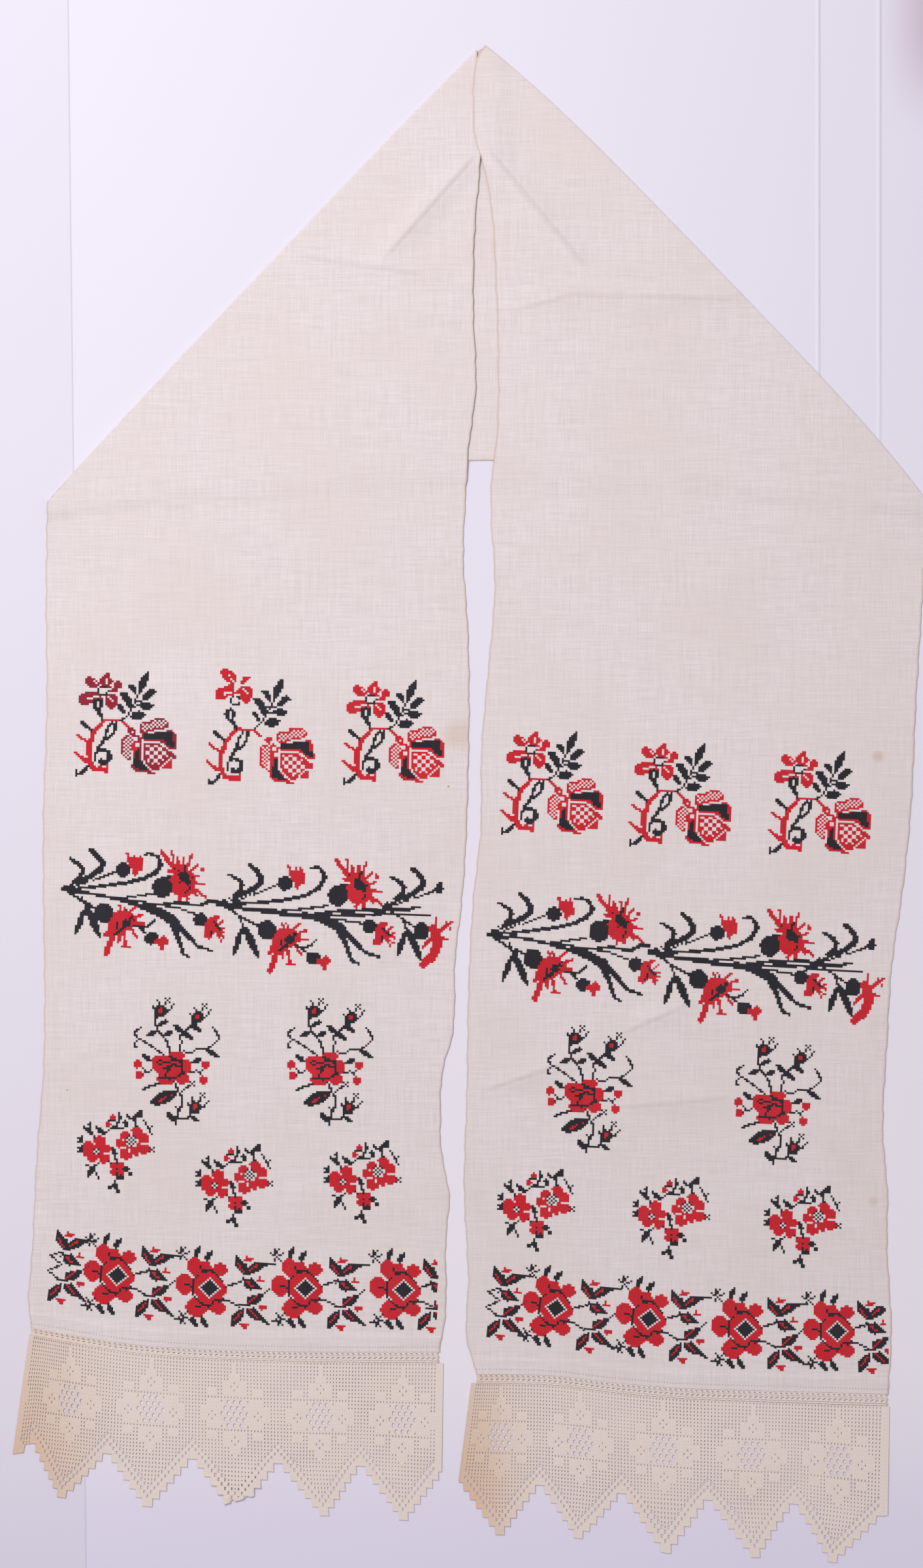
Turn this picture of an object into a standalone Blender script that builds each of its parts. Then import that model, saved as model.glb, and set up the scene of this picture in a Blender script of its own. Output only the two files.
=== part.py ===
# Rushnyk: one long linen strip folded forward at a peak, with a crocheted border on each end
# It lies face up: X runs to the right, Y up towards the peak, Z away from the surface
# The origin is the middle of the outline, on the surface that it lies on

import math

import bmesh
import bpy
import numpy as np

MM = 0.001

# Driving dimensions, in millimetres
SHEET = 1.0               # one layer of linen, and the lace
LAYER_GAP = 0.6           # air between two folded layers
LAYER = SHEET + LAYER_GAP
SEAM_GAP = 0.3            # between two pieces that are sewn together
HEM_DEPTH = 14.0
HEM_THICKNESS = 1.8
HEM_SHOULDER = 1.6        # over which the doubled hem thins out to one layer

# Grid of the strip
ACROSS = 16               # cells from selvedge to selvedge
TAIL_ROWS = 34            # rows from the hem to where they start to turn
TURN_ROWS = 14            # rows that swing round to the diagonal fold
BEND_ROWS = 3             # rows round the outside of a fold
BACK_ROWS = 12            # rows across the triangle behind
TURN_START = 227.0        # height on the sheet where the rows start to swing

# Selvedges of the two ends, from the hem up. Columns: y, x
LEFT_OUTER = (
    (-497.0, -417.6),
    (-471.0, -420.0),
    (-432.0, -417.0),
    (-333.0, -412.0),
    (-254.0, -405.8),
    (-184.0, -404.6),
    (-100.0, -405.8),
    (-6.0, -405.8),
    (86.0, -402.7),
    (205.0, -403.3),
    (287.0, -402.1),
)
LEFT_INNER = (
    (-520.0, -30.0),
    (-491.0, -25.0),
    (-408.0, -23.3),
    (-375.0, -20.2),
    (-327.0, -28.2),
    (-294.0, -28.8),
    (-251.0, -26.4),
    (-225.0, -18.9),
    (-143.0, -14.6),
    (-97.0, -9.0),
    (34.0, -2.5),
    (170.0, -3.0),
    (233.0, -7.1),
    (296.0, -4.7),
    (338.0, -2.2),
    (390.0, 4.3),
    (472.0, 2.2),
    (553.0, 4.0),
    (610.0, 9.0),
    (690.0, 8.5),
    (715.2, 5.3),
)
RIGHT_OUTER = (
    (-560.0, 396.0),
    (-510.0, 399.2),
    (-412.0, 395.1),
    (-372.0, 395.7),
    (-317.0, 391.5),
    (-223.0, 395.1),
    (-154.0, 399.6),
    (-85.0, 409.5),
    (-26.0, 416.0),
    (106.0, 423.0),
    (186.0, 428.1),
    (287.0, 433.7),
)
RIGHT_INNER = (
    (-541.0, 5.3),
    (-530.0, 1.9),
    (-515.0, -2.5),
    (-452.0, -2.5),
    (-362.0, -6.5),
    (-279.0, -4.0),
    (-167.0, -1.9),
    (-87.0, 2.5),
    (-28.0, 9.0),
    (55.0, 10.2),
    (114.0, 15.2),
    (213.0, 22.6),
    (279.0, 18.9),
    (306.0, 19.5),
    (346.0, 24.5),
    (416.0, 26.0),
    (507.0, 23.3),
    (553.0, 20.8),
    (584.0, 16.4),
    (612.0, 10.2),
    (625.0, 5.3),
    (657.0, 2.2),
    (688.0, 2.8),
    (711.0, 7.5),
    (719.5, 14.6),
)

# How far the hem line sags below a straight line. Columns: share of the way from the outer edge, sag
LEFT_HEM_SAG = (
    (0.0, 0.0),
    (0.25, 10.0),
    (0.5, 10.0),
    (0.75, 5.7),
    (1.0, 0.0),
)
RIGHT_HEM_SAG = (
    (0.0, 0.0),
    (0.2, 1.7),
    (0.35, 3.0),
    (0.5, 3.8),
    (0.67, 1.7),
    (0.8, -1.9),
    (0.9, -1.7),
    (1.0, 0.0),
)

# How far each diagonal fold bows outwards at its middle
LEFT_FOLD_BOW = 3.0
RIGHT_FOLD_BOW = 10.5

# The lower selvedge of the triangle behind arches up between the two outer corners
BACK_ARCH = 39.0
STEP_HOLD = 9.0           # the front layer stays up this far past that selvedge
STEP_RUN_OUTER = 12.0     # then comes down to the surface over this length
STEP_RUN_INNER = 26.0

# Near the peak the right end overlaps the left end
OVERLAP_X = (20.0, 45.0)
OVERLAP_Y = (560.0, 604.0)

# A crease is highest at its middle, and this share of its height is left at its ends
CREASE_END = 0.45

# Soft creases of the front layer. Columns: x and y of one end, x and y of the other, height, half width
CREASES = (
    (0.0, 612.0, -81.0, 520.0, 2.2, 11.0),
    (-159.0, 520.0, -47.0, 503.0, 1.4, 10.0),
    (20.0, 615.0, 104.0, 514.0, 2.2, 11.0),
    (45.0, 470.0, 96.0, 484.0, 1.6, 11.0),
    (96.0, 484.0, 254.0, 480.0, 1.6, 11.0),
    (17.0, -269.0, 105.0, -239.0, 1.6, 11.0),
    (145.0, -216.0, 199.0, -192.0, 1.6, 11.0),
    (145.0, -286.0, 239.0, -279.0, 1.4, 11.0),
)

# Height of the lattice heading at its outer and inner ends
LEFT_HEADING = (7.0, 10.5)
RIGHT_HEADING = (11.5, 8.5)

# Side edges of the lace, from the heading down. Columns: x, y
LEFT_LACE_OUTER = (
    (-419.0, -505.0),
    (-425.0, -533.0),
    (-428.7, -578.0),
    (-433.7, -609.2),
    (-432.5, -614.7),
    (-426.3, -613.5),
    (-424.4, -606.7),
)
LEFT_LACE_INNER = (
    (-27.6, -627.1),
    (-27.3, -589.3),
    (-24.8, -556.0),
    (-26.0, -532.0),
)
RIGHT_LACE_INNER = (
    (0.5, -551.0),
    (-4.7, -560.2),
    (-8.7, -587.5),
    (-10.9, -621.0),
)
RIGHT_LACE_OUTER = (
    (395.9, -666.8),
    (399.6, -639.0),
    (397.1, -615.4),
    (397.5, -573.0),
)

# Points of the lace, from left to right. Columns: x and y of the notch before it, x and y of its tip
LEFT_POINTS = (
    (-416.6, -606.7, -389.1, -658.1),
    (-345.3, -616.6, -307.2, -666.8),
    (-264.1, -621.6, -223.5, -672.0),
    (-182.6, -625.9, -138.9, -675.5),
    (-104.5, -628.4, -64.8, -679.8),
    (-27.6, -634.0, None, None),
)
RIGHT_POINTS = (
    (-11.5, -643.9, 27.6, -693.5),
    (65.7, -646.4, 101.4, -696.6),
    (143.2, -654.4, 185.1, -710.8),
    (225.1, -660.6, 270.6, -715.2),
    (306.9, -664.3, 342.6, -719.5),
    (390.0, -676.0, None, None),
)
POINT_STEPS = 6
TIP_FLAT = 3.4            # half width of the blunt end of a point

# The third point of the left lace has its tip turned under along this line
TURNED_TIP = {"start": (-237.8, -665.6), "end": (-209.3, -657.5)}

# Open flower centres: rows of oval holes, staggered. Columns: x, y of each centre
LEFT_FLOWERS = (
    (-380.1, -564.5),
    (-302.6, -574.7),
    (-224.8, -580.6),
    (-141.9, -580.6),
    (-63.9, -585.6),
)
RIGHT_FLOWERS = (
    (28.8, -604.2),
    (103.9, -606.1),
    (182.3, -614.1),
    (268.8, -619.7),
    (348.8, -622.8),
)
HOLES_PER_ROW = (3, 4, 5, 4, 3)
HOLE_PITCH = 6.3
HOLE_WIDTH = 3.0
HOLE_HEIGHT = 4.4
HOLE_SIDES = 6


def smooth_value(table, position):
    """Read a two-column table along one smooth curve through its rows."""
    places, values = np.array(table).T
    slopes = np.gradient(values, places)
    row = int(np.clip(np.searchsorted(places, position) - 1, 0, len(places) - 2))
    span = places[row + 1] - places[row]
    part = min(max((position - places[row]) / span, 0.0), 1.0)
    return (
        (1 + 2 * part) * (1 - part) ** 2 * values[row]
        + part * (1 - part) ** 2 * span * slopes[row]
        + part ** 2 * (3 - 2 * part) * values[row + 1]
        + part ** 2 * (part - 1) * span * slopes[row + 1]
    )


def ease(value, low, high):
    """Rise smoothly from 0 at low to 1 at high."""
    part = min(max((value - low) / (high - low), 0.0), 1.0)
    return part * part * (3 - 2 * part)


LEFT = {
    "outer": LEFT_OUTER,
    "inner": LEFT_INNER,
    "hem_sag": LEFT_HEM_SAG,
    "fold_bow": LEFT_FOLD_BOW,
    "overlaps": False,
}
RIGHT = {
    "outer": RIGHT_OUTER,
    "inner": RIGHT_INNER,
    "hem_sag": RIGHT_HEM_SAG,
    "fold_bow": RIGHT_FOLD_BOW,
    "overlaps": True,
}


def corner(edge, end):
    """The lowest (0) or highest (-1) point of a selvedge, as x and y."""
    return np.array((edge[end][1], edge[end][0]))


def back_selvedge(share):
    """The lower selvedge of the triangle behind, from the left corner to the right one."""
    left, right = corner(LEFT_OUTER, -1), corner(RIGHT_OUTER, -1)
    arch = BACK_ARCH * 4 * share * (1 - share)
    return left + (right - left) * share + np.array((0.0, arch))


def crease_height(x, y):
    """The soft creases raised together at one place."""
    height = 0.0
    for x0, y0, x1, y1, rise, half_width in CREASES:
        run = np.array((x1 - x0, y1 - y0))
        away = np.array((x - x0, y - y0))
        along = min(max(away @ run / (run @ run), 0.0), 1.0)
        distance = np.linalg.norm(away - run * along)
        fade = CREASE_END + (1 - CREASE_END) * 4 * along * (1 - along)
        height += rise * fade * math.exp(-((distance / half_width) ** 2))
    return height


def front_height(end, x, y):
    """Height of the middle of a front layer above the surface."""
    left_x, right_x = LEFT_OUTER[-1][1], RIGHT_OUTER[-1][1]
    share = min(max((x - left_x) / (right_x - left_x), 0.0), 1.0)
    below = back_selvedge(share)[1] - y
    run = STEP_RUN_OUTER + (STEP_RUN_INNER - STEP_RUN_OUTER) * 4 * share * (1 - share)
    lift = LAYER * (1 - ease(below, STEP_HOLD, STEP_HOLD + run))
    if end["overlaps"]:
        lift += LAYER * (1 - ease(x, *OVERLAP_X)) * ease(y, *OVERLAP_Y)
    return SHEET / 2 + lift + crease_height(x, y)


def flat_row(end, outer_y, inner_y, hem_share, fold_share):
    """One row of x and y from the outer selvedge to the inner one."""
    start = np.array((smooth_value(end["outer"], outer_y), outer_y))
    finish = np.array((smooth_value(end["inner"], inner_y), inner_y))
    run = finish - start
    outwards = np.array((-run[1], run[0])) / np.linalg.norm(run)
    if outwards[1] < 0:
        outwards = -outwards
    row = []
    for share in np.linspace(0, 1, ACROSS + 1):
        sag = hem_share * smooth_value(end["hem_sag"], share)
        bow = fold_share * end["fold_bow"] * (1 - (2 * share - 1) ** 4)
        row.append(start + run * share - np.array((0.0, sag)) + outwards * bow)
    return row, outwards


def tail_rows(end):
    """Rows of one end from its hem to its diagonal fold, with the thickness above their middle."""
    hem_outer, hem_inner = end["outer"][0][0], end["inner"][0][0]
    top_outer, top_inner = end["outer"][-1][0], end["inner"][-1][0]
    length = TURN_START - hem_outer
    hem_share = HEM_DEPTH / length
    shoulder_share = (HEM_DEPTH + HEM_SHOULDER) / length
    shares = [0.0, hem_share, shoulder_share, *np.linspace(2 * hem_share, 1, TAIL_ROWS)]
    rows = []
    for share in shares:
        outer_y = hem_outer + (TURN_START - hem_outer) * share
        inner_y = hem_inner + (TURN_START - hem_inner) * share
        row, _ = flat_row(end, outer_y, inner_y, 1 - share, 0)
        above = HEM_THICKNESS - SHEET / 2 if share <= hem_share else SHEET / 2
        rows.append((row, above))
    for share in np.linspace(0, 1, TURN_ROWS + 1)[1:-1]:
        outer_y = TURN_START + (top_outer - TURN_START) * share
        inner_y = TURN_START + (top_inner - TURN_START) * share
        row, _ = flat_row(end, outer_y, inner_y, 0, share)
        rows.append((row, SHEET / 2))
    placed = []
    up = np.array((0.0, 0.0, 1.0))
    for row, above in rows:
        middle = np.array([(x, y, front_height(end, x, y)) for x, y in row])
        placed.append((middle + up * above, middle - up * SHEET / 2))
    return placed


def fold_rows(end):
    """Rows round a diagonal fold, from the front layer round to the layer behind."""
    row, outwards = flat_row(end, end["outer"][-1][0], end["inner"][-1][0], 0, 1)
    out = np.array((*outwards, 0.0))
    up = np.array((0.0, 0.0, 1.0))
    rows = []
    for angle in np.radians(np.linspace(90, -90, BEND_ROWS + 2)):
        around = out * math.cos(angle) + up * math.sin(angle)
        over, under = [], []
        for x, y in row:
            front, back = front_height(end, x, y), SHEET / 2
            radius = (front - back) / 2
            axis = np.array((x, y, (front + back) / 2)) - out * (radius + SHEET / 2)
            over.append(axis + around * (radius + SHEET / 2))
            under.append(axis + around * (radius - SHEET / 2))
        rows.append((np.array(over), np.array(under)))
    return rows


def back_rows(left_fold, right_fold):
    """Rows across the triangle behind, between the ends of the two folds."""
    rows = []
    for share in np.linspace(0, 1, BACK_ROWS + 1)[1:-1]:
        low = back_selvedge(share)
        top = left_fold[-1] + (right_fold[-1] - left_fold[-1]) * share
        start = np.array((*low, SHEET / 2))
        finish = np.array((top[0], top[1], SHEET / 2))
        across = np.linspace(0, 1, ACROSS + 1)[:, None]
        middle = start + (finish - start) * across
        down = np.array((0.0, 0.0, SHEET / 2))
        rows.append((middle - down, middle + down))
    return rows


def closed_sheet(name, rows, material):
    """A closed sheet between two grids of points, one on each face of the cloth."""
    shape = bmesh.new()
    over = [[shape.verts.new(point * MM) for point in row] for row, _ in rows]
    under = [[shape.verts.new(point * MM) for point in row] for _, row in rows]
    for grid in (over, under):
        for near, far in zip(grid, grid[1:]):
            for side in range(len(near) - 1):
                shape.faces.new((near[side], near[side + 1], far[side + 1], far[side]))
    for side in (0, -1):
        for row in range(len(over) - 1):
            shape.faces.new((over[row][side], over[row + 1][side], under[row + 1][side], under[row][side]))
        for place in range(len(over[0]) - 1):
            shape.faces.new((over[side][place], over[side][place + 1], under[side][place + 1], under[side][place]))
    bmesh.ops.recalc_face_normals(shape, faces=shape.faces)
    mesh = bpy.data.meshes.new(name)
    shape.to_mesh(mesh)
    shape.free()
    mesh.shade_smooth()
    mesh.set_sharp_from_angle(angle=math.radians(50))
    mesh.materials.append(material)
    piece = bpy.data.objects.new(name, mesh)
    bpy.context.collection.objects.link(piece)
    return piece


def flat_piece(name, outline, holes, material):
    """A flat piece of one thickness that lies on the surface."""
    curve = bpy.data.curves.new(name, "CURVE")
    curve.dimensions = "2D"
    curve.fill_mode = "BOTH"
    curve.extrude = SHEET / 2 * MM
    for loop in (outline, *holes):
        spline = curve.splines.new("POLY")
        spline.points.add(len(loop) - 1)
        for point, (x, y) in zip(spline.points, loop):
            point.co = (x * MM, y * MM, 0, 1)
        spline.use_cyclic_u = True
    curve.materials.append(material)
    piece = bpy.data.objects.new(name, curve)
    piece.location.z = SHEET / 2 * MM
    bpy.context.collection.objects.link(piece)
    return piece


def hem_line(end, below):
    """The lower edge of an end, moved down by a length that may differ at its two ends."""
    row, _ = flat_row(end, end["outer"][0][0], end["inner"][0][0], 1, 0)
    shares = np.linspace(0, 1, len(row))
    drops = below[0] + (below[1] - below[0]) * shares
    return [(x, y - drop) for (x, y), drop in zip(row, drops)]


def heading(name, end, height, material):
    """The lattice strip between a hem and its lace."""
    top = hem_line(end, (SEAM_GAP, SEAM_GAP))
    bottom = hem_line(end, height)
    return flat_piece(name, top + bottom[::-1], [], material)


def stepped_side(start, finish):
    """One side of a point, cut in equal steps as the rows of crochet end."""
    side = []
    for step in range(POINT_STEPS):
        across = start[0] + (finish[0] - start[0]) * (step + 0.5) / POINT_STEPS
        side.append((across, start[1] + (finish[1] - start[1]) * step / POINT_STEPS))
        side.append((across, start[1] + (finish[1] - start[1]) * (step + 1) / POINT_STEPS))
    return side


def stepped_edge(points):
    """The lower edge of a lace from left to right, one point after another."""
    edge = []
    for number, (notch_x, notch_y, tip_x, tip_y) in enumerate(points[:-1]):
        next_notch = points[number + 1][:2]
        edge += stepped_side((notch_x, notch_y), (tip_x - TIP_FLAT, tip_y))
        edge += stepped_side((tip_x + TIP_FLAT, tip_y), next_notch)
    return edge


def turn_tip_under(edge):
    """Cut off the tip that is turned under, along its crease."""
    start, end = TURNED_TIP["start"], TURNED_TIP["end"]
    kept = []
    for x, y in edge:
        crease_y = start[1] + (end[1] - start[1]) * (x - start[0]) / (end[0] - start[0])
        inside = start[0] < x < end[0]
        if inside and y < crease_y:
            continue
        kept.append((x, y))
    cut = next(place for place, (x, _) in enumerate(kept) if x >= end[0])
    return kept[:cut] + [start, end] + kept[cut:]


def flower_holes(centres):
    """Staggered rows of oval holes at the middle of each flower."""
    holes = []
    for centre_x, centre_y in centres:
        for row, count in enumerate(HOLES_PER_ROW):
            y = centre_y + ((len(HOLES_PER_ROW) - 1) / 2 - row) * HOLE_PITCH
            for place in range(count):
                x = centre_x + (place - (count - 1) / 2) * HOLE_PITCH
                angles = np.radians(np.arange(HOLE_SIDES) * 360 / HOLE_SIDES + 90)
                holes.append([
                    (x + HOLE_WIDTH / 2 * math.cos(angle), y + HOLE_HEIGHT / 2 * math.sin(angle))
                    for angle in angles
                ])
    return holes


def finish_material(name, colour, roughness):
    """A plain cloth finish."""
    material = bpy.data.materials.new(name)
    material.use_nodes = True
    shader = material.node_tree.nodes["Principled BSDF"]
    shader.inputs["Base Color"].default_value = (*colour, 1)
    shader.inputs["Roughness"].default_value = roughness
    shader.inputs["Metallic"].default_value = 0
    return material


def build_cloth(material):
    left_fold = fold_rows(LEFT)
    right_fold = fold_rows(RIGHT)
    left_last = (left_fold[-1][0] + left_fold[-1][1]) / 2
    right_last = (right_fold[-1][0] + right_fold[-1][1]) / 2
    behind = back_rows(left_last, right_last)
    rows = tail_rows(LEFT) + left_fold + behind + right_fold[::-1] + tail_rows(RIGHT)[::-1]
    return closed_sheet("cloth", rows, material)


def build_lace(material):
    left_top = hem_line(LEFT, (LEFT_HEADING[0] + SEAM_GAP, LEFT_HEADING[1] + SEAM_GAP))
    left_edge = turn_tip_under(stepped_edge(LEFT_POINTS))
    left_outline = [*LEFT_LACE_OUTER, *left_edge, *LEFT_LACE_INNER, *left_top[::-1]]
    flat_piece("lace_left", left_outline, flower_holes(LEFT_FLOWERS), material)
    right_top = hem_line(RIGHT, (RIGHT_HEADING[0] + SEAM_GAP, RIGHT_HEADING[1] + SEAM_GAP))
    right_edge = stepped_edge(RIGHT_POINTS)
    right_outline = [*RIGHT_LACE_INNER, *right_edge, *RIGHT_LACE_OUTER, *right_top]
    flat_piece("lace_right", right_outline, flower_holes(RIGHT_FLOWERS), material)


for item in list(bpy.data.objects):
    bpy.data.objects.remove(item)

linen = finish_material("linen", (0.78, 0.72, 0.68), 0.9)
crochet = finish_material("crochet", (0.74, 0.66, 0.62), 0.85)
build_cloth(linen)
heading("heading_left", LEFT, LEFT_HEADING, crochet)
heading("heading_right", RIGHT, RIGHT_HEADING, crochet)
build_lace(crochet)
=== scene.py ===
import math

import bmesh
import bpy
import numpy as np
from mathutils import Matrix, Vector
from mathutils.geometry import delaunay_2d_cdt


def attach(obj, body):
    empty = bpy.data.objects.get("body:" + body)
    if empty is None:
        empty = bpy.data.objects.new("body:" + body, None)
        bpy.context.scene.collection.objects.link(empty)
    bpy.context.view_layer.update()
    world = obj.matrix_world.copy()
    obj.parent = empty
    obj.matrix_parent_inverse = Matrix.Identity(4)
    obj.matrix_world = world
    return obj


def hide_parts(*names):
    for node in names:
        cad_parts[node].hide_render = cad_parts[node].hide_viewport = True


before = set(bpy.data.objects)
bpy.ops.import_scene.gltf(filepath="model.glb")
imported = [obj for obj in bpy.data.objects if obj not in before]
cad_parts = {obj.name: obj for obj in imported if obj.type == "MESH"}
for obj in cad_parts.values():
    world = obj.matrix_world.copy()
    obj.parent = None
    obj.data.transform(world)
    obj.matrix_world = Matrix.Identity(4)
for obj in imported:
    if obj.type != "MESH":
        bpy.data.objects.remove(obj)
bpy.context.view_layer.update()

MM = 0.001

# Sizes of the solids that the pieces lie on, in millimetres
LAYER = 1.6               # by which a layer lies above the one under it
SEAM_GAP = 0.3            # from hem to heading, and from heading to lace
HEM_DEPTH = 14.0
HEM_SHOULDER = 1.6        # over which the hem goes down to a single thickness
TURN_START = 227.0        # y from which the rows turn towards the diagonal folds

# Selvedges of the two ends, from the hem up. Columns: y, x
LEFT_OUTER = (
    (-497.0, -417.6),
    (-471.0, -420.0),
    (-432.0, -417.0),
    (-333.0, -412.0),
    (-254.0, -405.8),
    (-184.0, -404.6),
    (-100.0, -405.8),
    (-6.0, -405.8),
    (86.0, -402.7),
    (205.0, -403.3),
    (287.0, -402.1),
)
LEFT_INNER = (
    (-520.0, -30.0),
    (-491.0, -25.0),
    (-408.0, -23.3),
    (-375.0, -20.2),
    (-327.0, -28.2),
    (-294.0, -28.8),
    (-251.0, -26.4),
    (-225.0, -18.9),
    (-143.0, -14.6),
    (-97.0, -9.0),
    (34.0, -2.5),
    (170.0, -3.0),
    (233.0, -7.1),
    (296.0, -4.7),
    (338.0, -2.2),
    (390.0, 4.3),
    (472.0, 2.2),
    (553.0, 4.0),
    (610.0, 9.0),
    (690.0, 8.5),
    (715.2, 5.3),
)
RIGHT_OUTER = (
    (-560.0, 396.0),
    (-510.0, 399.2),
    (-412.0, 395.1),
    (-372.0, 395.7),
    (-317.0, 391.5),
    (-223.0, 395.1),
    (-154.0, 399.6),
    (-85.0, 409.5),
    (-26.0, 416.0),
    (106.0, 423.0),
    (186.0, 428.1),
    (287.0, 433.7),
)
RIGHT_INNER = (
    (-541.0, 5.3),
    (-530.0, 1.9),
    (-515.0, -2.5),
    (-452.0, -2.5),
    (-362.0, -6.5),
    (-279.0, -4.0),
    (-167.0, -1.9),
    (-87.0, 2.5),
    (-28.0, 9.0),
    (55.0, 10.2),
    (114.0, 15.2),
    (213.0, 22.6),
    (279.0, 18.9),
    (306.0, 19.5),
    (346.0, 24.5),
    (416.0, 26.0),
    (507.0, 23.3),
    (553.0, 20.8),
    (584.0, 16.4),
    (612.0, 10.2),
    (625.0, 5.3),
    (657.0, 2.2),
    (688.0, 2.8),
    (711.0, 7.5),
    (719.5, 14.6),
)

# How far the hem sags below a straight line. Columns: share of the way from the outer edge, sag
LEFT_HEM_SAG = (
    (0.0, 0.0),
    (0.25, 10.0),
    (0.5, 10.0),
    (0.75, 5.7),
    (1.0, 0.0),
)
RIGHT_HEM_SAG = (
    (0.0, 0.0),
    (0.2, 1.7),
    (0.35, 3.0),
    (0.5, 3.8),
    (0.67, 1.7),
    (0.8, -1.9),
    (0.9, -1.7),
    (1.0, 0.0),
)
LEFT_FOLD_BOW = 3.0
RIGHT_FOLD_BOW = 10.5

# The triangle behind, and how the front layer steps down past its lower selvedge
BACK_ARCH = 39.0
STEP_HOLD = 9.0
STEP_RUN_OUTER = 12.0
STEP_RUN_INNER = 26.0
OVERLAP_X = (20.0, 45.0)
OVERLAP_Y = (560.0, 604.0)

# Soft creases of the front layer. Columns: x and y of one end, x and y of the other, height, half width
CREASE_END = 0.45
CREASES = (
    (0.0, 612.0, -81.0, 520.0, 2.2, 11.0),
    (-159.0, 520.0, -47.0, 503.0, 1.4, 10.0),
    (20.0, 615.0, 104.0, 514.0, 2.2, 11.0),
    (45.0, 470.0, 96.0, 484.0, 1.6, 11.0),
    (96.0, 484.0, 254.0, 480.0, 1.6, 11.0),
    (17.0, -269.0, 105.0, -239.0, 1.6, 11.0),
    (145.0, -216.0, 199.0, -192.0, 1.6, 11.0),
    (145.0, -286.0, 239.0, -279.0, 1.4, 11.0),
)

# Height of the lattice heading at its outer and inner ends
LEFT_HEADING = (7.0, 10.5)
RIGHT_HEADING = (11.5, 8.5)

# Notches and tips of the lace, from left to right. Columns: x and y of the notch, x and y of its tip
LEFT_POINTS = (
    (-416.6, -606.7, -389.1, -658.1),
    (-345.3, -616.6, -307.2, -666.8),
    (-264.1, -621.6, -223.5, -672.0),
    (-182.6, -625.9, -138.9, -675.5),
    (-104.5, -628.4, -64.8, -679.8),
)
LEFT_LAST_NOTCH = (-27.6, -634.0)
RIGHT_POINTS = (
    (-11.5, -643.9, 27.6, -693.5),
    (65.7, -646.4, 101.4, -696.6),
    (143.2, -654.4, 185.1, -710.8),
    (225.1, -660.6, 270.6, -715.2),
    (306.9, -664.3, 342.6, -719.5),
)
RIGHT_LAST_NOTCH = (390.0, -676.0)

# Middles of the open flowers along each lace
LEFT_FLOWERS_X = (-380.1, -302.6, -224.8, -141.9, -63.9)
RIGHT_FLOWERS_X = (28.8, 103.9, 182.3, 268.8, 348.8)

# The third point of the left lace has its tip turned under along this line
TURNED_TIP_START = (-237.8, -665.6)
TURNED_TIP_END = (-209.3, -657.5)

# The strip as it is modelled here
LINEN = 0.6               # thickness of the linen
HEM_EXTRA = 0.55          # by which the turned hem is thicker
HEM_STITCH = 4.5          # from the hem to its row of holes
CREASE_SHARPNESS = 4.0
ACROSS = 84               # cells from selvedge to selvedge
TAIL_ROWS = 120           # rows from the hem to where they start to turn
TURN_ROWS = 66
BEND_ROWS = 5
BACK_ROWS = 50
SELVEDGE_WAVE = 0.35      # unevenness of the selvedges
RIPPLE = 0.5              # height of the slow unevenness
STRIP_WIDTH = 400.0
STRIP_LENGTH = 2520.0

STITCH_WIDTH = 1.95       # one cross-stitch
STITCH_HEIGHT = 1.84
CHART_STEP = 1.054        # one step of the measures in the charts
BARE, RED, WINE, BLACK = range(4)
LONGER = 2                # column of the branch lengths that are longer than the first ones


def smooth_value(table, position):
    """Read a two-column table along one smooth curve through its rows."""
    places, values = np.array(table).T
    slopes = np.gradient(values, places)
    position = np.asarray(position, float)
    row = np.clip(np.searchsorted(places, position) - 1, 0, len(places) - 2)
    span = places[row + 1] - places[row]
    part = np.clip((position - places[row]) / span, 0, 1)
    return (
        (1 + 2 * part) * (1 - part) ** 2 * values[row]
        + part * (1 - part) ** 2 * span * slopes[row]
        + part ** 2 * (3 - 2 * part) * values[row + 1]
        + part ** 2 * (part - 1) * span * slopes[row + 1]
    )


def ease(value, low, high):
    """Rise smoothly from 0 at low to 1 at high."""
    part = np.clip((value - low) / (high - low), 0, 1)
    return part * part * (3 - 2 * part)


LEFT = {
    "outer": LEFT_OUTER,
    "inner": LEFT_INNER,
    "hem_sag": LEFT_HEM_SAG,
    "fold_bow": LEFT_FOLD_BOW,
    "overlaps": False,
}
RIGHT = {
    "outer": RIGHT_OUTER,
    "inner": RIGHT_INNER,
    "hem_sag": RIGHT_HEM_SAG,
    "fold_bow": RIGHT_FOLD_BOW,
    "overlaps": True,
}


# Lie of the linen


def back_selvedge(share):
    """The lower selvedge of the triangle behind, from the left corner to the right one."""
    left = np.array(LEFT_OUTER[-1])[::-1]
    right = np.array(RIGHT_OUTER[-1])[::-1]
    share = np.asarray(share, float)[..., None]
    arch = BACK_ARCH * 4 * share * (1 - share)
    return left + (right - left) * share + arch * np.array((0.0, 1.0))


def crease_height(x, y):
    """The soft creases raised together at each place."""
    height = np.zeros(np.shape(x))
    for x0, y0, x1, y1, rise, half_width in CREASES:
        run = np.array((x1 - x0, y1 - y0))
        along = np.clip(((x - x0) * run[0] + (y - y0) * run[1]) / (run @ run), 0, 1)
        distance = np.hypot(x - x0 - run[0] * along, y - y0 - run[1] * along)
        fade = CREASE_END + (1 - CREASE_END) * 4 * along * (1 - along)
        height += rise * fade * np.exp(-((distance / half_width) ** 2))
    return height


def ripple(x, y):
    """Slow unevenness of linen that has been folded and washed, from 0 to 1."""
    waves = (
        np.sin(x / 31 + 2.1 * np.sin(y / 57))
        + np.sin(y / 43 + 1.7 * np.sin(x / 71) + 1)
        + np.sin((x + y) / 27 + 1.3)
    )
    return 0.5 + waves / 6


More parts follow.
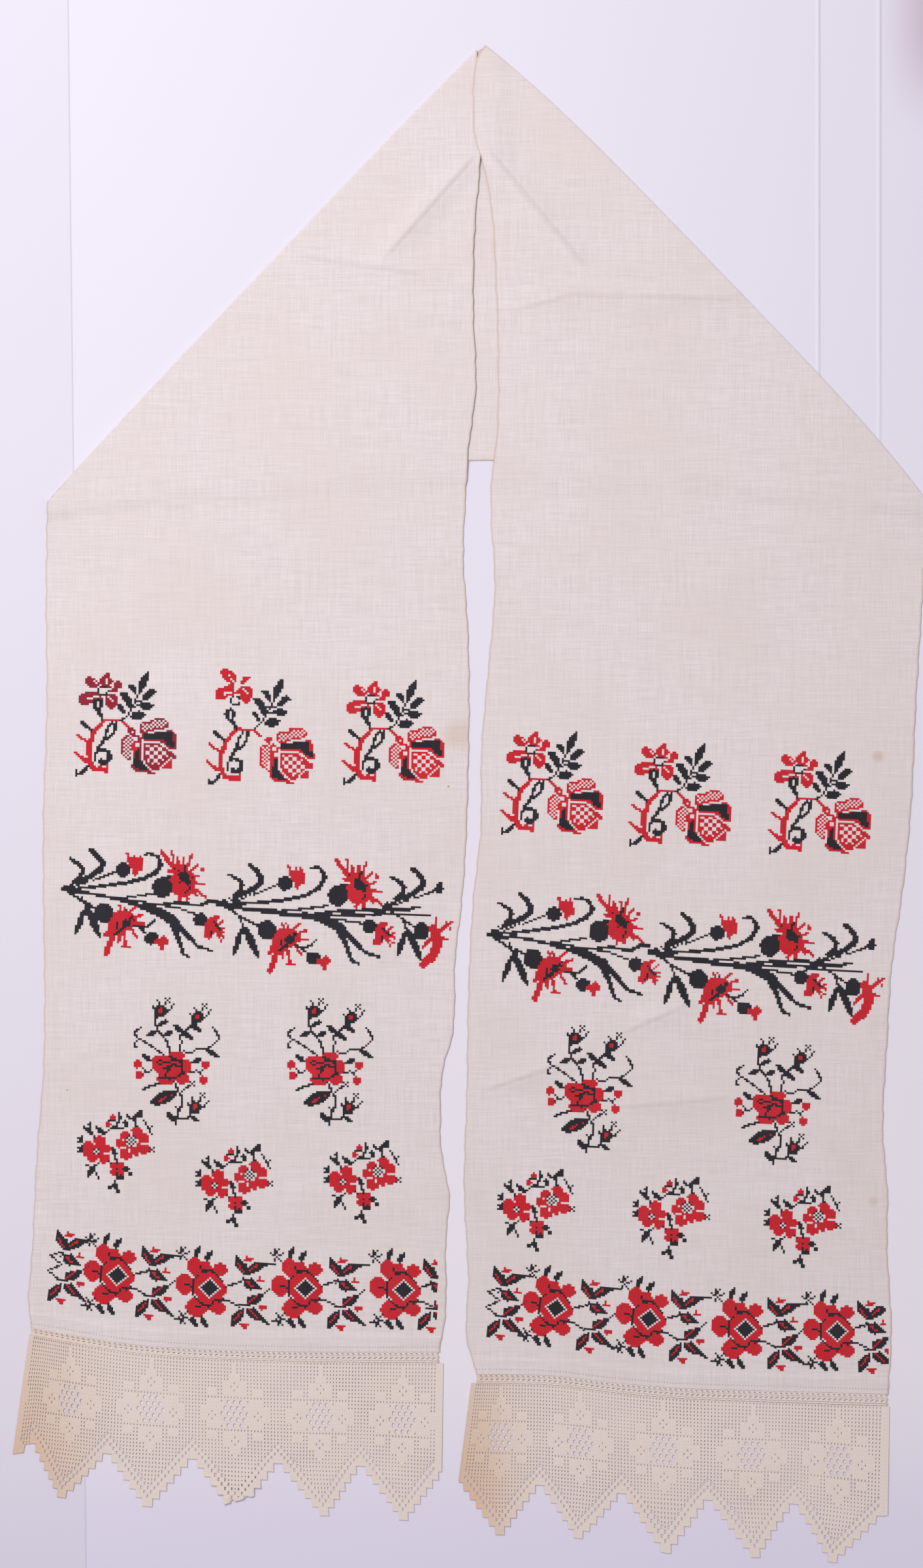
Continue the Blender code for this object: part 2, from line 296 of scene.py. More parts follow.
def front_low(end, x, y):
    """Height of the lower face of a front layer above the surface."""
    left_x, right_x = LEFT_OUTER[-1][1], RIGHT_OUTER[-1][1]
    share = np.clip((x - left_x) / (right_x - left_x), 0, 1)
    below = back_selvedge(share)[..., 1] - y
    run = STEP_RUN_OUTER + (STEP_RUN_INNER - STEP_RUN_OUTER) * 4 * share * (1 - share)
    lift = LAYER * (1 - ease(below, STEP_HOLD, STEP_HOLD + run))
    if end["overlaps"]:
        lift = lift + LAYER * (1 - ease(x, *OVERLAP_X)) * ease(y, *OVERLAP_Y)
    return lift + crease_height(x, y) + RIPPLE * ripple(x, y)


def flat_rows(end, outer_y, inner_y, hem_share, fold_share, across=ACROSS):
    """Rows of x and y from the outer selvedge to the inner one."""
    start = np.stack((smooth_value(end["outer"], outer_y), outer_y), -1)
    finish = np.stack((smooth_value(end["inner"], inner_y), inner_y), -1)
    run = finish - start
    outwards = np.stack((-run[:, 1], run[:, 0]), -1) / np.linalg.norm(run, axis=1)[:, None]
    outwards = np.where(outwards[:, 1:] < 0, -outwards, outwards)
    share = np.linspace(0, 1, across + 1)
    sag = hem_share[:, None] * smooth_value(end["hem_sag"], share)
    bow = fold_share[:, None] * end["fold_bow"] * (1 - (2 * share - 1) ** 4)
    rows = start[:, None] + run[:, None] * share[:, None]
    rows[..., 1] -= sag
    rows += bow[..., None] * outwards[:, None]
    return rows, outwards


def wavy_selvedges(rows):
    """Let both selvedges wander a little, as woven edges do."""
    place = rows[:, :, 1]
    edge = np.abs(np.linspace(-1, 1, rows.shape[1])) ** 24
    waves = np.sin(place / 6.1) + np.sin(place / 2.7 + rows[..., 0] / 90)
    rows[..., 0] += SELVEDGE_WAVE * edge * waves
    return rows


def tail_rows(end):
    """The two faces of one end from its hem to its diagonal fold."""
    hem_outer, hem_inner = end["outer"][0][0], end["inner"][0][0]
    top_outer, top_inner = end["outer"][-1][0], end["inner"][-1][0]
    length = TURN_START - hem_outer
    hem_share = HEM_DEPTH / length
    shoulder = (HEM_DEPTH + HEM_SHOULDER) / length
    hem_rows = np.array((0.0, 0.3, 0.6, 0.9, 1.0)) * hem_share
    share = np.concatenate((hem_rows, [shoulder], np.linspace(1.5 * hem_share, 1, TAIL_ROWS)))
    turn = np.linspace(0, 1, TURN_ROWS + 1)[1:-1]
    outer_y, inner_y = (
        np.concatenate((hem + (TURN_START - hem) * share, TURN_START + (top - TURN_START) * turn))
        for hem, top in ((hem_outer, top_outer), (hem_inner, top_inner))
    )
    hem_part = np.concatenate((1 - share, 0 * turn))
    fold_part = np.concatenate((0 * share, turn))
    rows, _ = flat_rows(end, outer_y, inner_y, hem_part, fold_part)
    rows = wavy_selvedges(rows)
    low = front_low(end, rows[..., 0], rows[..., 1])
    thickness = np.full(len(rows), LINEN)
    thickness[:len(hem_rows)] += HEM_EXTRA
    over = np.concatenate((rows, (low + thickness[:, None])[..., None]), -1)
    under = np.concatenate((rows, low[..., None]), -1)
    return over, under


def fold_rows(end):
    """The two faces round a diagonal fold, from the front layer to the layer behind."""
    outer_y, inner_y = np.array([end["outer"][-1][0]]), np.array([end["inner"][-1][0]])
    rows, outwards = flat_rows(end, outer_y, inner_y, np.zeros(1), np.ones(1))
    x, y = rows[0].T
    out = np.array((*outwards[0], 0.0))
    up = np.array((0.0, 0.0, 1.0))
    front = front_low(end, x, y) + LINEN / 2
    radius = (front - LINEN / 2) / 2
    axis = np.stack((x, y, (front + LINEN / 2) / 2), -1) - (radius + LINEN / 2)[:, None] * out
    over, under = [], []
    for angle in np.radians(np.linspace(90, -90, BEND_ROWS + 2)):
        around = out * math.cos(angle) + up * math.sin(angle)
        over.append(axis + (radius + LINEN / 2)[:, None] * around)
        under.append(axis + (radius - LINEN / 2)[:, None] * around)
    return np.array(over), np.array(under)


def back_rows(left_fold, right_fold):
    """The two faces of the triangle behind, between the ends of the two folds."""
    share = np.linspace(0, 1, BACK_ROWS + 1)[1:-1]
    low = back_selvedge(share)
    top = left_fold[-1, :2] + (right_fold[-1, :2] - left_fold[-1, :2]) * share[:, None]
    across = np.linspace(0, 1, ACROSS + 1)[None, :, None]
    rows = low[:, None] + (top - low)[:, None] * across
    rows[..., 1] += 0.5 * np.sin(rows[..., 0] / 7) * (1 - across[..., 0]) ** 12
    flat = np.zeros(rows.shape[:2] + (1,))
    return np.concatenate((rows, flat), -1), np.concatenate((rows, flat + LINEN), -1)


# Meshes from grids and outlines


def make_piece(name, points, faces, materials, finish=None, uv=None, rise=None):
    """A mesh from points in millimetres and from arrays of triangles and quads."""
    mesh = bpy.data.meshes.new(name)
    mesh.vertices.add(len(points))
    mesh.vertices.foreach_set("co", (np.asarray(points) * MM).astype(np.float32).ravel())
    corners = np.concatenate([part.ravel() for part in faces]).astype(np.int32)
    sizes = np.concatenate([np.full(len(part), part.shape[1]) for part in faces])
    mesh.loops.add(len(corners))
    mesh.loops.foreach_set("vertex_index", corners)
    mesh.polygons.add(len(sizes))
    mesh.polygons.foreach_set("loop_start", (np.cumsum(sizes) - sizes).astype(np.int32))
    mesh.update(calc_edges=True)
    for material in materials:
        mesh.materials.append(material)
    if finish is not None:
        mesh.polygons.foreach_set("material_index", finish.astype(np.int32))
    if uv is not None:
        layer = mesh.uv_layers.new(name="UVMap")
        layer.data.foreach_set("uv", np.asarray(uv)[corners].astype(np.float32).ravel())
    # The "rise" attribute holds the painted light and shade of each point of a stitch
    if rise is not None:
        layer = mesh.attributes.new("rise", "FLOAT", "POINT")
        layer.data.foreach_set("value", rise.astype(np.float32))
    mesh.shade_smooth()
    mesh.update()
    piece = bpy.data.objects.new(name, mesh)
    bpy.context.collection.objects.link(piece)
    return piece


def close_slab(count, faces):
    """Faces of a closed slab whose lower face has the same points, numbered from count on."""
    edges = np.concatenate([
        np.stack((part[:, side], part[:, (side + 1) % part.shape[1]]), -1)
        for part in faces
        for side in range(part.shape[1])
    ])
    low, high = edges.min(1).astype(np.int64), edges.max(1).astype(np.int64)
    _, first, uses = np.unique(low * count + high, return_index=True, return_counts=True)
    start, end = edges[first[uses == 1]].T
    walls = np.stack((end, start, start + count, end + count), -1)
    return [*faces, *[part[:, ::-1] + count for part in faces], walls]


def grid_faces(rows, columns):
    """Quads between the points of a grid, row by row."""
    numbers = np.arange(rows * columns).reshape(rows, columns)
    return np.stack(
        (numbers[:-1, :-1], numbers[:-1, 1:], numbers[1:, 1:], numbers[1:, :-1]), -1
    ).reshape(-1, 4)


CORD_SIDES = 6


def tube(path, width, height):
    """Points and quads of one cord along a path, open at both ends."""
    along = np.gradient(path[:, :2], axis=0)
    along /= np.linalg.norm(along, axis=1)[:, None]
    aside = np.stack((-along[:, 1], along[:, 0], np.zeros(len(path))), -1)
    angles = np.arange(CORD_SIDES)[:, None] * 2 * math.pi / CORD_SIDES
    ring = (
        path[:, None]
        + aside[:, None] * (np.cos(angles) * width / 2)
        + np.array((0, 0, 1.0)) * (np.sin(angles) * height / 2)
    )
    numbers = np.arange(len(path) * CORD_SIDES).reshape(len(path), CORD_SIDES)
    turned = np.roll(numbers, -1, axis=1)
    quads = np.stack((numbers[:-1], numbers[1:], turned[1:], turned[:-1]), -1).reshape(-1, 4)
    return ring.reshape(-1, 3), quads


# Charts for the cross-stitch


class Chart:
    """Squared paper for one motif, a square for each cross-stitch.

    Measures are in chart steps, with y counted downwards, and say where the anchor is. The squares
    are tilted clockwise about it, as the threads of the linen are there.
    """

    def __init__(self, width, height, anchor, tilt=0.0):
        self.anchor = anchor
        self.tilt = math.radians(tilt)
        reach = int(0.62 * (width + height) * CHART_STEP / STITCH_HEIGHT)
        self.column, self.row = np.meshgrid(np.arange(-reach, reach + 1), np.arange(-reach, reach + 1))
        right = self.column * STITCH_WIDTH / CHART_STEP
        down = self.row * STITCH_HEIGHT / CHART_STEP
        self.x = anchor[0] + right * math.cos(self.tilt) - down * math.sin(self.tilt)
        self.y = anchor[1] + right * math.sin(self.tilt) + down * math.cos(self.tilt)
        self.squares = np.zeros(self.x.shape, int)

    def place(self, draw, right, down, *options):
        """Draw a part of the motif further right and down than its own measures say."""
        self.x, self.y = self.x - right, self.y - down
        draw(self, *options)
        self.x, self.y = self.x + right, self.y + down

    def blob(self, thread, x, y, half_width, half_height=None, turn=0.0):
        """An oval."""
        half_height = half_height or half_width
        angle = math.radians(turn)
        along = (self.x - x) * math.cos(angle) + (self.y - y) * math.sin(angle)
        aside = (self.y - y) * math.cos(angle) - (self.x - x) * math.sin(angle)
        self.squares[(along / half_width) ** 2 + (aside / half_height) ** 2 <= 1] = thread

    def line(self, thread, points, *widths):
        """A line through points, at least a stitch wide, whose width changes evenly through the widths."""
        points = np.array(points, float)
        lengths = np.linalg.norm(np.diff(points, axis=0), axis=1)
        reached = np.concatenate(([0], np.cumsum(lengths))) / lengths.sum()
        stops = np.linspace(0, 1, len(widths))
        for (x0, y0), (x1, y1), near, far in zip(points, points[1:], reached, reached[1:]):
            run = np.array((x1 - x0, y1 - y0))
            least = STITCH_HEIGHT / CHART_STEP * np.abs(run).max() / math.hypot(*run)
            part = np.clip(((self.x - x0) * run[0] + (self.y - y0) * run[1]) / (run @ run), 0, 1)
            distance = np.hypot(self.x - x0 - run[0] * part, self.y - y0 - run[1] * part)
            width = np.maximum(np.interp(near + (far - near) * part, stops, widths), least)
            self.squares[distance <= width / 2] = thread

    def leaf(self, thread, x0, y0, x1, y1, width):
        """A leaf from its base to its tip."""
        run = np.array((x1 - x0, y1 - y0))
        part = ((self.x - x0) * run[0] + (self.y - y0) * run[1]) / (run @ run)
        aside = np.abs((self.y - y0) * run[0] - (self.x - x0) * run[1]) / math.hypot(*run)
        swell = np.clip(1 - (2 * part - 0.9) ** 2 / 1.21, 0, 1) ** 0.8
        self.squares[(part > -0.02) & (part < 1.02) & (aside <= width / 2 * swell)] = thread

    def area(self, thread, points):
        """All squares inside an outline."""
        self.squares[self.inside(points)] = thread

    def inside(self, points):
        inside = np.zeros(self.squares.shape, bool)
        for (x0, y0), (x1, y1) in zip(points, points[1:] + points[:1]):
            spans = (y0 > self.y) != (y1 > self.y)
            if y0 != y1:
                inside ^= spans & (self.x < x0 + (self.y - y0) * (x1 - x0) / (y1 - y0))
        return inside

    def nearest(self, x, y):
        """Row and column of the square nearest to a place."""
        return np.unravel_index(np.argmin((self.x - x) ** 2 + (self.y - y) ** 2), self.x.shape)

    def dot(self, thread, x, y):
        """A single stitch."""
        self.squares[self.nearest(x, y)] = thread

    def star(self, thread, x, y):
        """A small cross of five stitches."""
        row, column = self.nearest(x, y)
        for down, right in ((0, 0), (-1, -1), (-1, 1), (1, -1), (1, 1)):
            self.squares[row + down, column + right] = thread

    def lattice(self, points):
        """Leave every other stitch bare inside an outline, but none at the edge of a colour."""
        inner = self.inside(points) & (self.squares != BARE)
        for axis in (0, 1):
            for step in (1, -1):
                inner &= np.roll(self.squares, step, axis) == self.squares
        self.squares[inner & ((self.column + self.row) % 2 == 0)] = BARE


def spray_chart(thread, torn=False):
    """A curled red branch with an open flower, a fern leaf and a chequered blossom."""
    chart = Chart(104, 108, (55, 58), 1)
    if torn:
        chart.place(draw_spray_branch, -2.4, -0.5)
        chart.place(draw_fern, 0, -2.8)
        draw_torn_flower(chart, thread)
        chart.place(draw_blossom, 2.8, 0, thread)
    else:
        draw_spray_branch(chart)
        draw_fern(chart)
        draw_open_flower(chart, thread)
        draw_blossom(chart, thread)
    return chart


def draw_spray_branch(chart):
    chart.line(RED, ((34.8, 54), (50.4, 54.8), (56.3, 60.3)), 2.6, 2.6)
    chart.line(RED, ((34.8, 54.8), (25.6, 65.2), (24, 71)), 3, 4.6)
    chart.line(RED, ((23.6, 71), (21.4, 76.3), (21.4, 89)), 4.6, 4)
    chart.line(RED, ((21.4, 89), (24.4, 97), (37, 99.2)), 4.6, 4.6, 5)
    chart.line(RED, ((37.2, 98), (37.8, 94.4)), 3.6, 2.4)
    chart.line(RED, ((11, 67.2), (21.5, 76)), 2.4, 2.8)
    chart.line(RED, ((9, 83), (18.5, 91.2)), 2.4, 3.2)
    chart.line(BLACK, ((14.8, 56.2), (23.7, 64.4)), 3, 2.4)
    chart.line(BLACK, ((20, 95.6), (15.6, 101.2), (10.4, 103.2)), 3.4, 3)
    chart.line(BLACK, ((9.6, 98.8), (9.6, 103.2)), 2)
    chart.blob(BLACK, 33.9, 87.2, 8.2, 7.4)
    chart.blob(BARE, 32.8, 87, 4.8, 4.6)
    chart.line(BLACK, ((31.6, 90.6), (34, 92), (38, 90.4)), 3.6)
    chart.line(BARE, ((28.2, 90.8), (29, 95.4)), 1.8)
    chart.line(BLACK, ((29, 80.4), (32.4, 76), (35.6, 70), (37.8, 61.5), (41.5, 57)), 3, 3, 2.4)
    chart.line(BLACK, ((37, 72.4), (42.6, 66.8), (44.4, 63), (45.4, 56.6)), 2, 2.8, 3)


def draw_fern(chart):
    leaves = (
        [(47.4, 28.2), (54.4, 28.6), (59.1, 34.6), (59.6, 43.3), (56.5, 43.8), (52.4, 36.6), (48.8, 31.5)],
        [(54.7, 21.4), (61.6, 21.6), (63.5, 25.8), (63.9, 32.5), (60.6, 29.4), (56.5, 24.3)],
        [
            (74, 9.8), (76, 14.5), (74, 20.1), (71.4, 25.3), (66.8, 31.5), (65.2, 30.4), (65.2, 21.2),
            (68.9, 16),
        ],
        [(68.3, 34.1), (74, 27.9), (78.1, 25.6), (82.4, 29.4), (78.6, 32), (75, 35.6), (69.9, 36.1)],
        [(64.7, 40.7), (68.9, 38.2), (75, 38.2), (80.2, 41), (75, 44.9), (69.9, 44.4)],
        [(57.5, 51), (61.6, 46.4), (66.8, 45.9), (73.4, 49), (69.9, 52.6), (64.7, 54.7), (60.1, 53.6)],
        [(46.2, 40.2), (50.3, 39.7), (53.4, 45.4), (54.4, 49), (51.3, 48.5), (46.7, 43.3)],
    )
    for leaf in leaves:
        chart.area(BLACK, leaf)
    stem = ((49.8, 54.7), (55.5, 50.5), (58.6, 45.4), (60.1, 42.3), (63.7, 35.6), (64.2, 32.5))
    chart.line(BLACK, stem, 1.8)
    chart.line(BLACK, ((60.1, 42.3), (64.7, 41.3)), 1.5)
    chart.line(BLACK, ((61.6, 36.6), (68.3, 37.1)), 1.5)


def draw_open_flower(chart, petal):
    # Columns: x, y, half width, half height, turn
    petals = (
        (24, 20.4, 7.2, 4.4, 35),
        (36.9, 19.4, 5.9, 4.8, 0),
        (37.6, 14.6, 3, 3.2, 0),
        (36.7, 24, 3.4, 2, 0),
        (47.4, 22.6, 3.8, 3.6, 0),
        (43.2, 26.8, 4.2, 2.8, 0),
        (41.3, 36.8, 6, 7.6, -10),
        (16.8, 35.4, 5.2, 5.8, 0),
    )
    for oval in petals:
        chart.blob(petal, *oval)
    chart.line(petal, ((18.5, 31.2), (29.4, 30.6)), 4.8, 4)
    chart.line(petal, ((20.5, 38.2), (32, 34.4)), 3.6, 3)
    chart.line(BARE, ((20.6, 34.6), (28.4, 33.4)), 1.9)
    for x, y in ((25.6, 19.9), (27.4, 21.7), (29.2, 23.6), (39.6, 32.6), (41.4, 34.4), (43.2, 36.3)):
        chart.dot(BARE, x, y)
    for x, y in ((40, 23.4), (40, 27), (41.8, 25.2)):
        chart.dot(BARE, x, y)
    chart.line(BARE, ((36.4, 17.2), (36.4, 21.4)), 1.2)
    chart.line(BARE, ((24, 26.6), (30, 26.8)), 1.2)
    chart.line(BARE, ((39, 30), (46, 30.4)), 1.2)
    draw_flower_heart(chart, 34.1, 27.9)


def draw_torn_flower(chart, petal):
    """The same flower with its petals set above the heart, and one of them left out."""
    chart.blob(petal, 26, 6, 8.4, 5.2, 38)
    chart.area(petal, [(35.6, 12), (37.9, 8), (39.9, 6), (45.2, 6), (45.2, 8.3), (41.9, 11), (40.5, 12.9)])
    chart.area(petal, [
        (12.8, 23.2), (14.1, 19.2), (16.8, 16.9), (26.7, 13.3), (31.3, 13.9), (31.3, 15.2), (30, 19.2),
        (22, 20.5), (20.4, 23.2), (24.7, 23.8), (24, 25.8), (22, 27.5), (15.4, 27.1),
    ])
    chart.line(petal, ((24.4, 23.4), (34.6, 20.4)), 2.2)
    chart.area(petal, [
        (31.9, 19.5), (35.9, 15.2), (44.5, 15.2), (47.8, 19.2), (47.8, 22.5), (43.5, 30.1), (39.9, 30.1),
        (37.2, 27.1), (35.2, 21.8),
    ])
    for x, y in ((27.1, 6), (29, 7.9), (30.8, 9.7), (38.2, 17.6), (40.2, 19.6), (42.2, 21.6)):
        chart.dot(BARE, x, y)
    draw_flower_heart(chart, 31.9, 27.8)


def draw_flower_heart(chart, x, y):
    """The ring in the middle and the cup under the flower."""
    chart.blob(BLACK, x, y, 4.9, 5.1)
    chart.blob(BARE, x + 0.1, y - 0.1, 3.4, 3.4)
    cup = x - 4.7
    chart.blob(BLACK, cup, y + 11.9, 5.2, 5)
    chart.line(BLACK, ((cup - 1, y + 15.1), (33.6, 53.8)), 6, 2)
    chart.line(BARE, ((cup + 0.6, y + 9.7), (cup + 0.6, y + 15.1)), 1.2)


def draw_blossom(chart, thread):
    chart.blob(thread, 59.4, 63.7, 3.7, 3.4)
    chart.dot(BARE, 60.6, 64.4)
    chart.line(thread, ((62.6, 67), (66.5, 70), (70, 71)), 1.8)
    lobe = [
        (66.7, 57.6), (70.4, 55), (77, 55), (77.4, 53.2), (89.6, 53.2), (94, 57.4), (92.6, 60.6),
        (90.6, 62), (82, 62.6), (78, 64.4), (70.6, 66.4), (66.9, 65.2),
    ]
    chart.area(thread, lobe)
    chart.lattice(lobe)
    chart.area(thread, [
        (69.6, 66), (78, 66), (82, 65), (91.4, 65), (91.4, 62.4), (97, 62.4), (97.4, 65), (100, 67.4),
        (100, 80.6), (93.3, 80.4), (87.8, 74.4), (69.6, 73),
    ])
    chart.area(BLACK, [
        (70, 66.6), (82.2, 65.4), (91.9, 64), (96, 65.2), (96, 73), (98.4, 74.1), (98.4, 78.5),
        (92.6, 77.4), (88.9, 72.6), (70, 71.2),
    ])
    chart.line(BARE, ((70, 73.6), (85, 74.6), (92.6, 81), (98, 83.4)), 1.3)
    chart.area(thread, [
        (69.6, 74.8), (84, 75.2), (94.6, 82.2), (99, 85.4), (99, 88.6), (94.6, 90), (83, 100), (80, 100),
        (73, 94.5), (69.6, 88.1),
    ])
    checks = chart.inside([
        (71.6, 76.6), (83.6, 77), (92.4, 83), (92.4, 87), (82, 96), (75, 92), (71.6, 87.6),
    ])
    chart.squares[checks & ((chart.column // 2 + chart.row // 2) % 2 == 0)] = BARE
    chart.area(RED, [(95.6, 89.3), (95.6, 98), (88.1, 97.4), (86.5, 96), (91.9, 92.6)])
    chart.line(BARE, ((85.4, 97.6), (91, 91.4), (95, 89)), 1.3)
    draw_side_lobe(chart, thread)


def draw_side_lobe(chart, thread):
    """The lobe at the left of the blossom, with the dark wedge under it."""
    chart.area(thread, [
        (54.8, 67.8), (61.5, 68.1), (66, 68), (68.4, 71), (68.6, 88.9), (77, 99.3), (82.2, 102.4),
        (77, 102.8), (73.3, 101.9), (64.4, 101.5), (59.3, 97), (59.3, 92), (50.4, 85.4), (50.4, 71.1),
    ])
    chart.lattice([(50.4, 67.6), (60.6, 67.6), (60.6, 92), (50.4, 86)])
    chart.area(RED, [(59.6, 74), (62.4, 74.2), (65.4, 80), (62.4, 83.6), (59.6, 83.4)])
    chart.line(BARE, ((59.9, 82.4), (59.9, 92.4)), 1.2)
    chart.line(BARE, ((68.9, 72.6), (68.9, 89.2), (73.8, 96), (79.4, 100.6)), 1.3)
    for x, y in ((63.4, 70.5), (65, 76)):
        chart.area(BARE, [(x - 1.9, y - 1.8), (x + 1.9, y - 1.8), (x + 1.9, y + 1.8), (x - 1.9, y + 1.8)])
    chart.area(BLACK, [
        (64.8, 79.4), (66.6, 80), (67, 89.8), (74.4, 98.4), (74.2, 100.2), (63, 97.4), (61, 95.6),
        (61, 91.1), (63, 87.4), (63.3, 82.2),
    ])


def branch_chart(column):
    """One length of the running branch, from one join of its stems to the next."""
    chart = Chart(172, 112, (8.9, 40.3), 4)
    # Columns: what is drawn, then its steps right and down in each kind of length: the first one on
    # the left, the first one on the right, the longer ones. Empty where it isn't drawn.
    parts = (
        (draw_short_stem, (0, 0), (5, -1), ()),
        (draw_long_stem, (), (), (0, 0)),
        (draw_curled_leaves, (0, 0), (3, -1.5), (4.5, 2)),
        (draw_forked_leaves, (0, 0), (1.5, 1), (1.5, 6)),
        (draw_upper_bud, (0, 0), (5, -1.5), (7, 2)),
        (draw_main_leaf, (0, 0), (5, -1.5), (10.5, -1.5)),
        (draw_large_carnation, (0, 0), (10, -1.5), (19, -1)),
        (draw_lower_carnation, (0, 0), (3, 0), (6.5, 5)),
        (draw_lower_bud, (0, 0), (5.5, 0.5), (4.7, 8.5)),
        (draw_side_carnation, (0, 0), (8, -1), (12, -1.5)),
    )
    draw_join(chart)
    for draw, *moves in parts:
        if moves[column]:
            chart.place(draw, *moves[column])
    return chart


def draw_join(chart):
    chart.blob(BLACK, 11.6, 41.4, 4.2, 2.4)
    chart.line(BLACK, ((8, 41), (20, 39)), 2, 2.6)
    chart.line(BLACK, ((10, 42.4), (22, 43.6), (33, 44)), 2.6, 3, 2.4)
    chart.line(BLACK, ((13, 43.4), (22, 48.6), (29.6, 54.6), (36.8, 58.8)), 1.8, 2.4, 1.8)


def draw_curled_leaves(chart):
    chart.line(
        BLACK, ((9, 39.6), (18.3, 35), (26, 28.8), (28, 23.8), (25, 19.6), (21.1, 17.4), (16.4, 14)),
        1.4, 2.2, 3.8, 4, 2.6,
    )
    chart.line(
        BLACK, ((10, 40), (24, 34), (35, 29.4), (43.4, 23.7), (45.6, 18.4), (40.3, 10.9), (35.2, 6.4)),
        1.6, 4, 5.4, 5.4, 4,
    )
    chart.line(BLACK, ((20, 39), (30, 35.4), (39, 32.6), (48.6, 29.2), (59.6, 24.8)), 1.8)
    chart.line(BARE, ((13.4, 37.6), (17.6, 35.6)), 1)
    chart.line(BARE, ((32.6, 35), (35.6, 33.8)), 1)


def draw_forked_leaves(chart):
    chart.leaf(BLACK, 28.8, 60, 20.8, 83, 5.4)
    chart.leaf(BLACK, 31.6, 58, 43.4, 86.4, 7)
    chart.line(BLACK, ((26.6, 48), (28.6, 53), (30, 58), (30, 63)), 1.8)


def draw_short_stem(chart):
    """The stems of a first length, and its hooked twig."""
    chart.line(BLACK, ((13, 41.7), (39.1, 39.2), (66.4, 35.8), (83, 31.8)), 2, 3.2, 3.8)
    hook = ((83, 31.8), (93.7, 26.1), (98.3, 19.4), (94.9, 11.9), (87.8, 9.3), (82.6, 10.7))
    chart.line(BLACK, hook, 4, 4.2, 1.8)
    chart.line(BLACK, ((24.5, 43.3), (54.6, 49.4), (66, 52.4)), 2.8, 3)
    chart.line(BLACK, ((64, 52.4), (75.9, 55.4), (88, 57.6)), 3, 4.2)
    chart.line(BLACK, ((61, 49.4), (70, 48.6), (83, 46.6), (92, 46)), 2)
    chart.line(BLACK, ((52, 50.4), (78.3, 52.4), (94, 55.4), (103, 54.4)), 2.2)
    end = ((101, 55.4), (113, 53.4), (126.9, 55.6), (134, 56), (141, 52.2), (149, 51.8))
    chart.line(BLACK, end, 2.6, 3.2)
    chart.line(BLACK, ((103.2, 57.3), (113, 58), (122, 61.6), (130, 64.4)), 2)


def draw_long_stem(chart):
    """The stems of a longer length, which reach into the cut one, and its hooked twig."""
    chart.line(BLACK, ((13, 42.2), (40.4, 42.7), (65.6, 41.5), (88.3, 37.8), (100.8, 31.6)), 2, 3.2, 3.8)
    chart.line(BLACK, ((100.8, 31.6), (107.1, 21.4), (102.1, 12.8), (93.3, 12.4)), 4.2, 4, 1.8)
    chart.line(BLACK, ((8.9, 43.3), (42.9, 48.3), (65.6, 50.8), (78.2, 50.3), (108.4, 47.6)), 2.4, 2.2)
    chart.line(BLACK, ((20, 45.4), (30.3, 47.3), (65.6, 53.2), (95.8, 57.2)), 2.4, 3, 4.6)
    chart.line(BLACK, ((85.7, 55.6), (116, 52.8), (146.2, 52.7), (157.5, 54.3)), 2.6, 3.2)
    chart.line(BLACK, ((92, 56.2), (121, 56), (141, 57.4), (160, 56.4)), 2)
    chart.line(BLACK, ((98, 57.6), (116, 59.6), (141, 65)), 2)


def draw_main_leaf(chart):
    """The leaf in the middle, split into two tips."""
    chart.line(BLACK, ((76, 55.6), (94.9, 61.4), (106.8, 68.4)), 3.4, 8, 9)
    chart.line(BLACK, ((106.8, 69), (112.7, 83), (118, 99.6), (123.4, 102.2)), 7, 4.4, 2.2)
    chart.line(BLACK, ((107.8, 66.4), (118.6, 79.5), (130.5, 92.5), (143.5, 96.9)), 5.8, 4.2, 2.2)


def draw_large_carnation(chart):
    chart.blob(RED, 117.6, 35.6, 12, 13)
    chart.blob(RED, 112.4, 24, 5.6, 6)
    # Columns: x and y of the outer end, width
    rays = (
        (98.2, 7.4, 3.6), (108.2, 7.6, 2), (112.6, 14, 3.2), (118.8, 13.6, 2.2), (125.4, 11, 2.4),
        (130.6, 19.8, 2.2), (132.8, 29, 2.2), (137.8, 37.6, 2), (138.4, 49, 2.6), (130.4, 47.6, 2.4),
        (121.6, 50.4, 3.6), (115, 50.4, 3),
    )
    for x, y, width in rays:
        root = (109, 22) if x < 110 else (118, 33)
        chart.line(RED, (root, (x, y)), width * 1.3, width)
    chart.blob(RED, 134.6, 23.6, 2.2)
    chart.line(RED, ((104.6, 25), (112, 26)), 3.4)
    chart.line(BARE, ((104, 27), (109, 28.6)), 1.1)
    chart.blob(BLACK, 99.2, 39.8, 9.2, 9.4)
    chart.line(BLACK, ((99, 33.6), (105.6, 30.6)), 4.4)
    chart.area(BLACK, [
        (112.6, 28.2), (116.4, 25.4), (121, 26), (123.6, 31), (125, 36.4), (122, 38), (118.4, 33.6),
        (116, 30.4),
    ])
    chart.blob(BLACK, 119, 31, 5.4, 4, 25)
    chart.line(BLACK, ((118.8, 26), (120.6, 19.4)), 2)
    chart.line(BLACK, ((120.6, 44.6), (124.6, 39.4)), 1.6)
    for x, y in ((115.6, 35.2), (110.6, 22.6), (126.4, 31.4), (114.4, 25)):
        chart.dot(BLACK, x, y)


